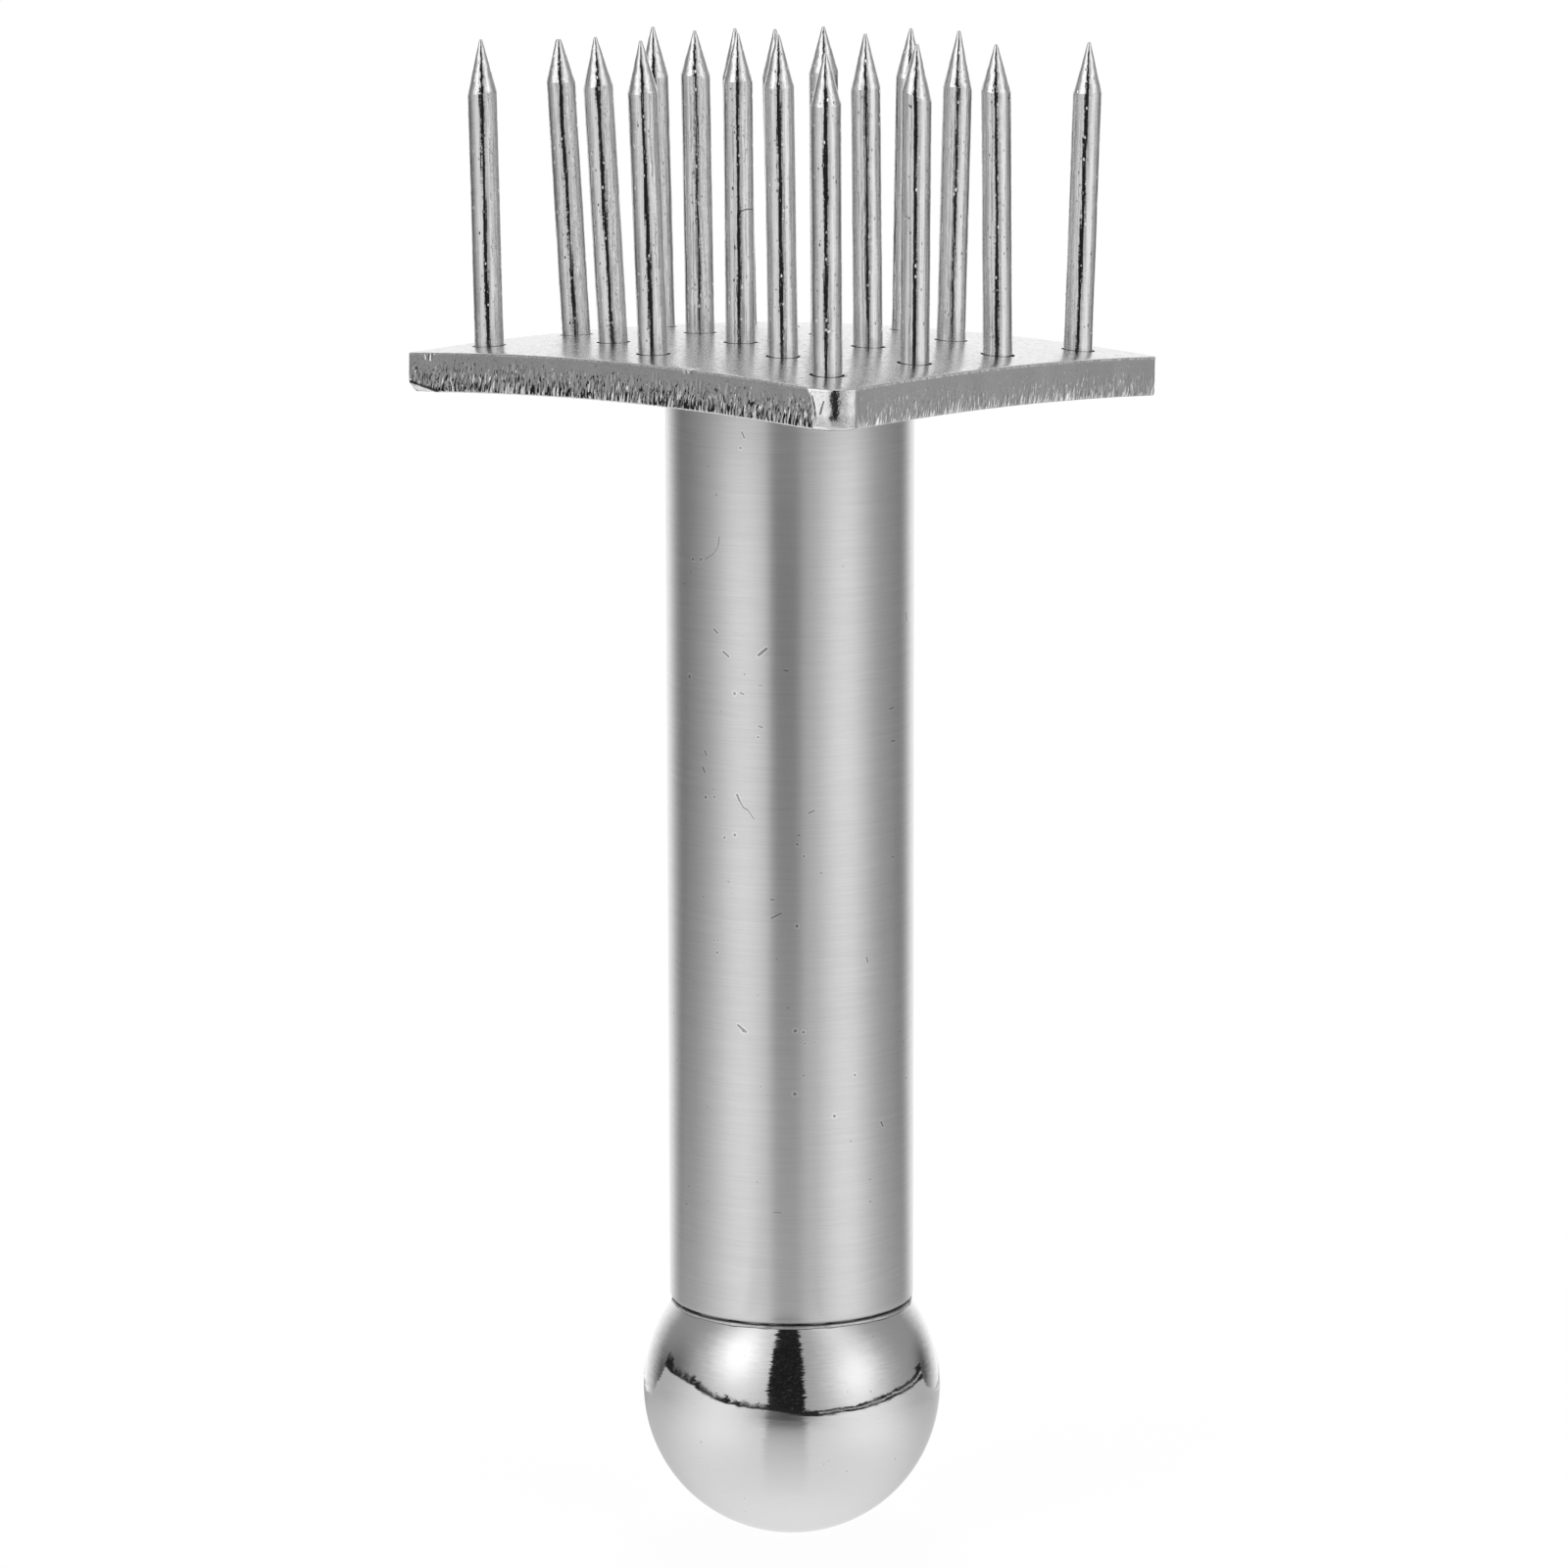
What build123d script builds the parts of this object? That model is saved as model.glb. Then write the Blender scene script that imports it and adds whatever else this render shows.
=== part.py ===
"""Multi-needle pricker: a domed steel plate set with eighteen pointed needles,
on a brushed tube handle that ends in a hollow polished ball.

Frame: millimetres, +Z along the handle from the ball to the needle points.
The origin is the lowest point of the ball, on the handle's axis. X and Y run
along the edges of the square plate.
"""

import math
import os

from build123d import *

# ----------------------------------------------------------------- handle
HANDLE_OD = 25.0  # stock tube
HANDLE_WALL = 1.2
HANDLE_LIP_R = 0.6  # rounded outer edge at the ball end
HANDLE_END_Z = 24.8  # where the ball end of the tube stops

# ------------------------------------------------------------------- ball
BALL_D = 30.5
BALL_WALL = 1.0
BALL_SEAM_Z = 15.85  # the two pressed halves meet a little above the centre
BALL_SEAM_WIDTH = 0.5
BALL_SEAM_SLOPE_DEG = 1.9  # the seam isn't quite square to the handle
BALL_SEAM_DOWN_DIR = 39.1  # direction in plan in which it runs down, degrees
BALL_NECK_WELD_R = 12.15  # outer radius of the bead in the joint line

# ------------------------------------------------------------------ plate
PLATE_X = 53.5
PLATE_Y = 53.0
PLATE_SKEW = 0.8  # the blank isn't sheared quite square: one corner is further out in X
PLATE_SKEW_LEFT = 0.25  # and so is the corner at the other end of that edge
PLATE_T = 4.0
PLATE_R_X = 375.0  # dome radius in the X-Z plane, crown towards the points
PLATE_R_Y = 545.0  # dome radius in the Y-Z plane
PLATE_AT = (-0.28, -0.23, 123.39)  # crown of the top face
PLATE_TILT_X = -1.75  # degrees about X, how far off square it is welded on
PLATE_TILT_Y = -0.20  # degrees about Y
CORNER_R_GROUND = 3.0  # the one corner that is ground round
CORNER_R_LEFT = 0.35
CORNER_R_REST = 0.5
CORNER_FACET_DROP = 2.8  # ground facet under one corner: top of it, down the edge
CORNER_FACET_X = 6.5  # how far it runs along X
CORNER_FACET_Y = 1.2  # how far it runs along Y

# ---------------------------------------------------------------- needles
NEEDLE_D = 2.96
NEEDLE_HOLE_D = 3.04
NEEDLE_TIP_R = 0.18
NEEDLE_TIP_R_BLUNT = 0.34
BLUNT = ("needle_a2",)
PLUG_DEPTH = 0.8  # the needle stops short of the back face, and weld fills it
PLUG_R = 2.1  # radius of the weld plug at the back face
PLUG_PROUD = 0.3
# Rows a to e run along Y and alternate four and three needles. Each needle is
# set by hand, so each has its own lean:
# (x, y where it leaves the plate's top, x, y, z of its point, cone length)
NEEDLES = {
    "needle_a1": (-22.36, -20.04, -23.09, -20.02, 153.38, 5.3),
    "needle_a2": (-22.48, -6.60, -24.19, -7.04, 152.67, 4.3),
    "needle_a3": (-22.57, 6.83, -23.77, 7.20, 153.14, 5.0),
    "needle_a4": (-22.65, 20.26, -24.09, 20.78, 152.23, 5.0),
    "needle_b1": (-11.74, -13.39, -13.20, -14.11, 153.70, 4.9),
    "needle_b2": (-11.73, 0.11, -12.46, 0.34, 153.59, 4.4),
    "needle_b3": (-11.80, 13.58, -13.00, 13.77, 152.99, 5.0),
    "needle_c1": (-0.94, -20.02, -1.73, -20.69, 154.19, 5.0),
    "needle_c2": (-0.94, -6.59, -1.25, -6.53, 154.18, 4.9),
    "needle_c3": (-0.95, 6.90, -1.40, 7.21, 154.07, 4.5),
    "needle_c4": (-1.13, 20.28, -1.21, 21.23, 153.15, 5.1),
    "needle_d1": (9.91, -13.23, 9.70, -13.60, 154.87, 5.0),
    "needle_d2": (9.84, 0.22, 9.55, 0.15, 154.20, 5.4),
    "needle_d3": (9.86, 13.67, 10.19, 14.46, 153.74, 5.8),
    "needle_e1": (20.72, -19.83, 20.96, -20.33, 153.90, 4.8),
    "needle_e2": (20.80, -6.35, 21.15, -6.42, 154.04, 5.0),
    "needle_e3": (20.80, 7.03, 20.60, 6.86, 153.25, 4.6),
    "needle_e4": (20.73, 20.46, 21.30, 21.28, 152.68, 5.1),
}
# These four stand over the tube, so their plugs are ground flush before it is
# welded on.
UNDER_HANDLE = ("needle_b2", "needle_c2", "needle_c3", "needle_d2")

# ------------------------------------------------------------------ welds
FILLET_LEG = 1.7  # the bead around the tube under the plate
FILLET_FLARE = 0.65  # how fast it widens towards the plate
SEAT_GAP = 0.02  # between parts that are seated and welded

BALL_R = BALL_D / 2
HANDLE_R = HANDLE_OD / 2
HANDLE_RI = HANDLE_R - HANDLE_WALL

parts = {}


# ---------------------------------------------------------------- helpers
def turned(points):
    """A ring: the closed outline (radius, height) turned about Z."""
    face = make_face(Polyline([(r, z) for r, z in points], close=True))
    return revolve(Plane.XZ * face, Axis.Z)


PLATE_PLACE = Location(PLATE_AT) * Rotation(PLATE_TILT_X, PLATE_TILT_Y, 0)


def domed_layer(low, high, half):
    """The layer between two surfaces parallel to the plate's top, low and high
    above it, in the plate's own frame, out to half from the middle."""
    turn = (half + 3.0) / PLATE_R_X
    r_high, r_low = PLATE_R_X + high, PLATE_R_X + low
    s, c = math.sin(turn), math.cos(turn)
    top = ThreePointArc(
        (-r_high * s, r_high * c - PLATE_R_X), (0, high), (r_high * s, r_high * c - PLATE_R_X)
    )
    bottom = ThreePointArc(
        (r_low * s, r_low * c - PLATE_R_X), (0, low), (-r_low * s, r_low * c - PLATE_R_X)
    )
    outline = Curve() + [top, Line(top @ 1, bottom @ 0), bottom, Line(bottom @ 1, top @ 0)]
    face = Plane.XZ * make_face(outline)
    sweep = math.degrees((half + 3.0) / PLATE_R_Y)
    axis = Axis((0, 0, -PLATE_R_Y), (1, 0, 0))
    return revolve(face.rotate(axis, -sweep), axis, 2 * sweep)


def along(name):
    """The needle's axis: a plane at its base with +Z to its point, and the
    distance from the plate's top to the point."""
    bx, by, tx, ty, tz, _ = NEEDLES[name]
    u, v = bx - PLATE_AT[0], by - PLATE_AT[1]
    bz = (
        PLATE_AT[2]
        - u * u / (2 * PLATE_R_X)
        - v * v / (2 * PLATE_R_Y)
        - u * math.tan(math.radians(PLATE_TILT_Y))
        + v * math.tan(math.radians(PLATE_TILT_X))
    )
    base, point = Vector(bx, by, bz), Vector(tx, ty, tz)
    way = point - base
    return Plane(origin=base, z_dir=way.normalized()), way.length


# ----------------------------------------------------------------- handle
# The ball end has a rounded outer lip, and its inner edge is cut to seat on
# the ball. The other end is cut to the plate's tilt and meets its back.
def tube_bar(r_in, r_out, end_z, lip_r, top_z):
    """A tube about Z whose lower outer edge is rounded by lip_r."""
    k = lip_r * math.sqrt(0.5)
    lip_x, lip_z = HANDLE_R - HANDLE_LIP_R, HANDLE_END_Z + HANDLE_LIP_R
    outline = Curve() + [
        Line((r_in, end_z), (lip_x, end_z)),
        ThreePointArc((lip_x, end_z), (lip_x + k, lip_z - k), (r_out, lip_z)),
        Line((r_out, lip_z), (r_out, top_z)),
        Line((r_out, top_z), (r_in, top_z)),
        Line((r_in, top_z), (r_in, end_z)),
    ]
    return revolve(Plane.XZ * make_face(outline), Axis.Z)


def above_back(radius):
    """All that lies above the plate's back out to that radius: a flat cut, set
    low enough to stay under the dome there."""
    sag = radius * radius / (2 * PLATE_R_X)
    return PLATE_PLACE * Pos(0, 0, 20 - PLATE_T - sag - SEAT_GAP) * Box(70, 70, 40)


ball_at = Pos(0, 0, BALL_R)
tube = tube_bar(HANDLE_RI, HANDLE_R, HANDLE_END_Z, HANDLE_LIP_R, 126.0)
parts["handle_tube"] = tube - above_back(HANDLE_R + 0.3) - ball_at * Sphere(BALL_R + SEAT_GAP)

# The bead round the tube under the plate.
foot = (HANDLE_R + 0.01, 117.0)
bead = turned([foot, (foot[0] + FILLET_FLARE * 4, foot[1] + 4), (foot[0], foot[1] + 4)])
parts["handle_to_plate_weld"] = bead - above_back(HANDLE_R + FILLET_LEG + 0.3)

# ------------------------------------------------------------------- ball
# Two pressed halves and the weld between them, hollow inside.
shell = ball_at * Sphere(BALL_R) - ball_at * Sphere(BALL_R - BALL_WALL)
down = math.radians(BALL_SEAM_DOWN_DIR)
slope = math.tan(math.radians(BALL_SEAM_SLOPE_DEG))
seam = Plane(
    origin=(0, 0, BALL_SEAM_Z),
    x_dir=(-math.sin(down), math.cos(down), 0),
    z_dir=Vector(slope * math.cos(down), slope * math.sin(down), 1).normalized(),
)
half_seam = BALL_SEAM_WIDTH / 2
parts["ball_upper_half"] = shell & seam * Pos(0, 0, 25.003 + half_seam) * Box(70, 70, 50)
parts["ball_lower_half"] = shell & seam * Pos(0, 0, -25.003 - half_seam) * Box(70, 70, 50)
parts["ball_seam_weld"] = shell & seam * Box(70, 70, BALL_SEAM_WIDTH)

# The thin bead that closes the joint line between the tube's lip and the ball.
neck = turned(
    [
        (HANDLE_R - HANDLE_LIP_R - 0.03, 24.2),
        (BALL_NECK_WELD_R, 24.2),
        (BALL_NECK_WELD_R, 25.2),
        (HANDLE_R - HANDLE_LIP_R - 0.03, 25.2),
    ]
)
grown_tube = tube_bar(HANDLE_RI - 0.3, HANDLE_R + 0.01, HANDLE_END_Z - 0.01, HANDLE_LIP_R + 0.01, 40.0)
parts["ball_neck_weld"] = neck - grown_tube - ball_at * Sphere(BALL_R + 0.005)

# ------------------------------------------------------------------ plate
sheared = [
    (-PLATE_X / 2 - PLATE_SKEW_LEFT, -PLATE_Y / 2),
    (PLATE_X / 2 + PLATE_SKEW, -PLATE_Y / 2),
    (PLATE_X / 2, PLATE_Y / 2),
    (-PLATE_X / 2, PLATE_Y / 2),
]
blank = Pos(0, 0, -7) * extrude(make_face(Polyline(sheared, close=True)), 14)
for sx, sy, r in (
    (1, -1, CORNER_R_GROUND),
    (-1, -1, CORNER_R_LEFT),
    (1, 1, CORNER_R_REST),
    (-1, 1, CORNER_R_REST),
):
    upright = [
        e
        for e in blank.edges().filter_by(Axis.Z)
        if e.center().X * sx > PLATE_X * 0.4 and e.center().Y * sy > PLATE_Y * 0.4
    ]
    blank = fillet(upright, r)
plate = domed_layer(-PLATE_T, 0, PLATE_X / 2) & blank

# The facet ground under the left-hand corner: everything past one plane goes.
cx, cy = -PLATE_X / 2 - PLATE_SKEW_LEFT, -PLATE_Y / 2
top = -cx * cx / (2 * PLATE_R_X) - cy * cy / (2 * PLATE_R_Y)
rest = PLATE_T - CORNER_FACET_DROP
outward = Vector(-rest / CORNER_FACET_X, -rest / CORNER_FACET_Y, -1).normalized()
facet = Plane(origin=(cx, cy, top - CORNER_FACET_DROP), z_dir=outward)
plate = plate - facet * Pos(0, 0, 10) * Box(24, 24, 20)
plate = PLATE_PLACE * plate

# ---------------------------------------------------------------- needles
needle_r = NEEDLE_D / 2
hole_r = NEEDLE_HOLE_D / 2
heel = -(PLATE_T - PLUG_DEPTH)  # the needle's lower end, from the plate's top
flare = (PLUG_R - hole_r) / PLUG_DEPTH  # of the countersink that holds the plug
holes, plugs = [], []
proud_space = PLATE_PLACE * domed_layer(-PLATE_T - PLUG_PROUD, 2.0, PLATE_X / 2)
flush_space = PLATE_PLACE * domed_layer(-PLATE_T, 2.0, PLATE_X / 2)
for name, row in NEEDLES.items():
    plane, length = along(name)
    cone = row[5]
    tip_r = NEEDLE_TIP_R_BLUNT if name in BLUNT else NEEDLE_TIP_R
    # The ground point is a cone that runs out in a small ball.
    half = math.atan2(needle_r, cone)
    for _ in range(20):
        tip_z = length - tip_r
        meet_r, meet_z = tip_r * math.cos(half), tip_z + tip_r * math.sin(half)
        half = math.atan2(needle_r - meet_r, meet_z - (length - cone))
    mid = (half + math.pi / 2) / 2
    outline = Curve() + [
        Line((0, heel), (needle_r, heel)),
        Line((needle_r, heel), (needle_r, length - cone)),
        Line((needle_r, length - cone), (meet_r, meet_z)),
        ThreePointArc(
            (meet_r, meet_z),
            (tip_r * math.cos(mid), tip_z + tip_r * math.sin(mid)),
            (0, length),
        ),
        Line((0, length), (0, heel)),
    ]
    shape = revolve(Plane.XZ * make_face(outline), Axis.Z)
    parts[name] = plane * shape

    holes.append(plane * Cylinder(hole_r, 16))
    sink = [(0, heel - 0.001), (hole_r, heel - 0.001), (hole_r + flare * 3, heel - 3), (0, heel - 3)]
    holes.append(plane * turned(sink))
    fill = [
        (0, heel - 0.005),
        (hole_r - 0.01, heel - 0.005),
        (hole_r - 0.01 + flare * 3, heel - 3.005),
        (0, heel - 3.005),
    ]
    space = flush_space if name in UNDER_HANDLE else proud_space
    plugs.append((plane * turned(fill)) & space)

for hole in holes:
    plate = plate - hole
parts["needle_plate"] = plate
parts["needle_weld_plugs"] = Compound(children=[s for p in plugs for s in p.solids()])

# ------------------------------------------------------------------ write
os.makedirs("parts", exist_ok=True)
for node, shape in parts.items():
    solids = shape.solids()
    if len(solids) == 1:
        shape = solids[0]
    else:
        shape = Compound(children=list(solids))
    export_step(shape, f"parts/{node}.step")
    print(node, len(solids), round(sum(s.volume for s in solids), 1))
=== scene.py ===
import math

import bpy
import numpy as np
from mathutils import Matrix, Vector, geometry


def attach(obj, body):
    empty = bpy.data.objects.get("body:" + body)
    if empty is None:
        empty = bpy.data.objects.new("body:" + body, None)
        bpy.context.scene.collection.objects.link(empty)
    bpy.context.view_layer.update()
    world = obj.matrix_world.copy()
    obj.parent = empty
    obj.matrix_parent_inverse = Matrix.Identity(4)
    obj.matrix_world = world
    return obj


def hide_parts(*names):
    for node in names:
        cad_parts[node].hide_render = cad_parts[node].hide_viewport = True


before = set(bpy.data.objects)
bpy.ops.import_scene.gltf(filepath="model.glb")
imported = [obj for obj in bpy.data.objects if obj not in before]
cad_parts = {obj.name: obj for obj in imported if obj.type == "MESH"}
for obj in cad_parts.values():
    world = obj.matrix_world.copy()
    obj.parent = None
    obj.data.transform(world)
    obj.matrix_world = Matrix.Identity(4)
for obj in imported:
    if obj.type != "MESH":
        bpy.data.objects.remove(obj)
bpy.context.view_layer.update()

scene = bpy.context.scene
scene.view_settings.view_transform = "Standard"
scene.view_settings.look = "None"

# ------------------------------------------------------------------ sizes, mm
PLATE_X, PLATE_Y, PLATE_T = 53.5, 53.0, 4.0
DOME_X, DOME_Y = 375.0, 545.0
PLATE_AT = np.array([-0.28, -0.23, 123.39])
TILT_X, TILT_Y = math.radians(-1.75), math.radians(-0.20)
CORNERS = {(1, -1): 3.0, (-1, -1): 0.35, (1, 1): 0.5, (-1, 1): 0.5}
PLATE_SKEW = 0.8  # how much further out in X the ground corner is
PLATE_SKEW_LEFT = 0.25  # and the corner at the other end of that edge
FACET_DROP, FACET_X, FACET_Y = 2.8, 6.5, 1.2
NEEDLE_R, HOLE_R, PLUG_R, PLUG_DEPTH = 1.48, 1.52, 2.1, 0.8
HANDLE_R, HANDLE_RI, LIP_R, HANDLE_END = 12.5, 11.3, 0.6, 24.8
BALL_R, BALL_WALL, SEAM_Z, SEAM_W = 15.25, 1.0, 15.85, 0.5
SEAM_SLOPE, SEAM_DOWN = math.radians(1.9), math.radians(39.1)

# x, y at the plate's top, x, y, z of the point, length of the point,
# how far the shoulder runs out of square, the direction of that
NEEDLES = {
    "needle_a1": (-22.36, -20.04, -23.09, -20.02, 153.38, 5.3, 0.16, 40),
    "needle_a2": (-22.48, -6.60, -24.19, -7.04, 152.67, 4.3, 0.12, 200),
    "needle_a3": (-22.57, 6.83, -23.77, 7.20, 153.14, 5.0, 0.15, 120),
    "needle_a4": (-22.65, 20.26, -24.09, 20.78, 152.23, 5.0, 0.12, 300),
    "needle_b1": (-11.74, -13.39, -13.20, -14.11, 153.70, 4.9, 0.18, 15),
    "needle_b2": (-11.73, 0.11, -12.46, 0.34, 153.59, 4.4, 0.15, 160),
    "needle_b3": (-11.80, 13.58, -13.00, 13.77, 152.99, 5.0, 0.16, 250),
    "needle_c1": (-0.94, -20.02, -1.73, -20.69, 154.19, 5.0, 0.12, 90),
    "needle_c2": (-0.94, -6.59, -1.25, -6.53, 154.18, 4.9, 0.20, 330),
    "needle_c3": (-0.95, 6.90, -1.40, 7.21, 154.07, 4.5, 0.15, 60),
    "needle_c4": (-1.13, 20.28, -1.21, 21.23, 153.15, 5.1, 0.20, 210),
    "needle_d1": (9.91, -13.23, 9.70, -13.60, 154.87, 5.0, 0.14, 140),
    "needle_d2": (9.84, 0.22, 9.55, 0.15, 154.20, 5.4, 0.16, 20),
    "needle_d3": (9.86, 13.67, 10.19, 14.46, 153.74, 5.8, 0.25, 280),
    "needle_e1": (20.72, -19.83, 20.96, -20.33, 153.90, 4.8, 0.18, 100),
    "needle_e2": (20.80, -6.35, 21.15, -6.42, 154.04, 5.0, 0.55, 220),
    "needle_e3": (20.80, 7.03, 20.60, 6.86, 153.25, 4.6, 0.15, 180),
    "needle_e4": (20.73, 20.46, 21.30, 21.28, 152.68, 5.1, 0.14, 0),
}
BLUNT = ("needle_a2",)
UNDER_HANDLE = ("needle_b2", "needle_c2", "needle_c3", "needle_d2")

# the studio's front, in plan: towards the camera, and to its right
FRONT = np.array([0.6305, -0.7762, 0.0])
SIDE = np.array([0.7762, 0.6305, 0.0])
METAL = 0.78  # how much of the light a clean face gives back


# ---------------------------------------------------------------- plain noise
def hash01(i, seed):
    i = (np.asarray(i, np.int64) * 374761393 + seed * 668265263) & 0xFFFFFFFF
    i = ((i ^ (i >> 13)) * 1274126177) & 0xFFFFFFFF
    return ((i ^ (i >> 16)) & 0xFFFFFF) / float(0xFFFFFF)


def noise1(x, seed, period=None):
    x = np.asarray(x, float)
    i = np.floor(x).astype(np.int64)
    f = x - i
    f = f * f * (3 - 2 * f)
    a, b = (i, i + 1) if period is None else (i % period, (i + 1) % period)
    return (hash01(a, seed) * (1 - f) + hash01(b, seed) * f) * 2 - 1


def noise2(x, y, seed, period=None):
    """Smooth noise, -1 to 1, that can repeat along x."""
    y = np.asarray(y, float)
    j = np.floor(y).astype(np.int64)
    g = y - j
    g = g * g * (3 - 2 * g)
    x = np.asarray(x, float)
    i = np.floor(x).astype(np.int64)
    f = x - i
    f = f * f * (3 - 2 * f)
    a, b = (i, i + 1) if period is None else (i % period, (i + 1) % period)

    def row(jj):
        return hash01(a + jj * 7919, seed) * (1 - f) + hash01(b + jj * 7919, seed) * f

    return (row(j) * (1 - g) + row(j + 1) * g) * 2 - 1


def smooth(x, lo, hi):
    t = np.clip((np.asarray(x, float) - lo) / (hi - lo), 0, 1)
    return t * t * (3 - 2 * t)


def lin(v):
    """The light that shows as this 0 to 255 grey."""
    v = v / 255.0
    return v / 12.92 if v <= 0.04045 else ((v + 0.055) / 1.055) ** 2.4


# --------------------------------------------------------------- mesh helpers
def piece(name, verts, faces, mats, nodes, face_mats=None, angle=40, attrs=None):
    """A closed mesh, given in mm, as a piece that stands for CAD nodes."""
    mesh = bpy.data.meshes.new(name)
    mesh.from_pydata((np.asarray(verts, float) * 0.001).tolist(), [], faces)
    mesh.validate()
    for m in mats:
        mesh.materials.append(m)
    if face_mats is not None:
        mesh.polygons.foreach_set("material_index", np.asarray(face_mats, np.int32))
    mesh.polygons.foreach_set("use_smooth", np.ones(len(mesh.polygons), bool))
    mesh.set_sharp_from_angle(angle=math.radians(angle))
    for key, values in (attrs or {}).items():
        a = mesh.attributes.new(key, "FLOAT", "POINT")
        a.data.foreach_set("value", np.asarray(values, np.float32))
    mesh.update()
    o = bpy.data.objects.new(name, mesh)
    scene.collection.objects.link(o)
    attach(o, "root")
    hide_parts(*nodes)
    return o


def ring_faces(start, count, rows, flip=False, wrap=True):
    """Quads between rows of count points each, laid out row after row."""
    faces = []
    for r in range(rows - 1):
        a, b = start + r * count, start + (r + 1) * count
        for i in range(count if wrap else count - 1):
            j = (i + 1) % count
            q = (a + i, a + j, b + j, b + i)
            faces.append(q[::-1] if flip else q)
    return faces


# -------------------------------------------------------------- shader helper
class Net:
    """A node tree, written as sums."""

    def __init__(self, tree):
        self.tree = tree

    def new(self, kind, **props):
        node = self.tree.nodes.new(kind)
        for k, v in props.items():
            setattr(node, k, v)
        return node

    def put(self, socket, value):
        if isinstance(value, bpy.types.NodeSocket):
            self.tree.links.new(value, socket)
        else:
            socket.default_value = value

    def do(self, op, a, b=None, c=None, clamp=False):
        node = self.new("ShaderNodeMath", operation=op, use_clamp=clamp)
        for s, v in zip(node.inputs, (a, b, c)):
            if v is not None:
                self.put(s, v)
        return node.outputs[0]

    def add(self, a, b):
        return self.do("ADD", a, b)

    def sub(self, a, b):
        return self.do("SUBTRACT", a, b)

    def mul(self, a, b):
        return self.do("MULTIPLY", a, b)

    def vec(self, op, a, b=None, scale=None):
        node = self.new("ShaderNodeVectorMath", operation=op)
        self.put(node.inputs[0], a)
        if b is not None:
            self.put(node.inputs[1], b)
        if scale is not None:
            self.put(node.inputs["Scale"], scale)
        return node.outputs["Value"] if op in ("DOT_PRODUCT", "LENGTH") else node.outputs["Vector"]

    def xyz(self, v):
        return self.new_in("ShaderNodeSeparateXYZ", v).outputs

    def new_in(self, kind, v):
        node = self.new(kind)
        self.put(node.inputs[0], v)
        return node

    def join(self, x, y, z):
        node = self.new("ShaderNodeCombineXYZ")
        for s, v in zip(node.inputs, (x, y, z)):
            self.put(s, v)
        return node.outputs[0]

    def ramp(self, x, stops, mode="LINEAR"):
        node = self.new("ShaderNodeValToRGB")
        self.put(node.inputs[0], x)
        r = node.color_ramp
        r.interpolation = mode
        while len(r.elements) < len(stops):
            r.elements.new(0.5)
        for e, (p, v) in zip(r.elements, stops):
            e.position = p
        for e, (p, v) in zip(r.elements, stops):
            e.color = (v, v, v, 1)
        return node.outputs[0]

    def step(self, x, lo, hi, a=0.0, b=1.0):
        node = self.new("ShaderNodeMapRange", interpolation_type="SMOOTHSTEP")
        for s, v in zip(node.inputs[:5], (x, lo, hi, a, b)):
            self.put(s, v)
        return node.outputs[0]

    def bell(self, x, centre, width):
        """A bell curve, 1 at centre."""
        d = self.mul(self.sub(x, centre), 1.0 / width)
        return self.do("EXPONENT", self.mul(self.mul(d, d), -1.0))

    def noise(self, v, scale=1.0, detail=2.0, rough=0.5, distort=0.0, out=0):
        node = self.new("ShaderNodeTexNoise")
        self.put(node.inputs["Vector"], v)
        node.inputs["Scale"].default_value = scale
        node.inputs["Detail"].default_value = detail
        node.inputs["Roughness"].default_value = rough
        node.inputs["Distortion"].default_value = distort
        return node.outputs[out]

    def mix(self, f, a, b):
        """a to b by f, for plain numbers."""
        node = self.new("ShaderNodeMix", data_type="FLOAT")
        self.put(node.inputs[0], f)
        self.put(node.inputs[2], a)
        self.put(node.inputs[3], b)
        return node.outputs[0]

    def grey(self, v):
        return self.join(v, v, v)


def azimuth(net, v):
    """Degrees round from the studio's front, positive to the camera's right."""
    right = net.vec("DOT_PRODUCT", v, tuple(SIDE))
    front = net.vec("DOT_PRODUCT", v, tuple(FRONT))
    return net.mul(net.do("ARCTAN2", right, front), 180 / math.pi)


# ---------------------------------------------------------------------- studio
# A light tent: pale walls with two soft boxes, a dark slit at the front where
# the tent is open, and a pale table. The metal mirrors it.


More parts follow.
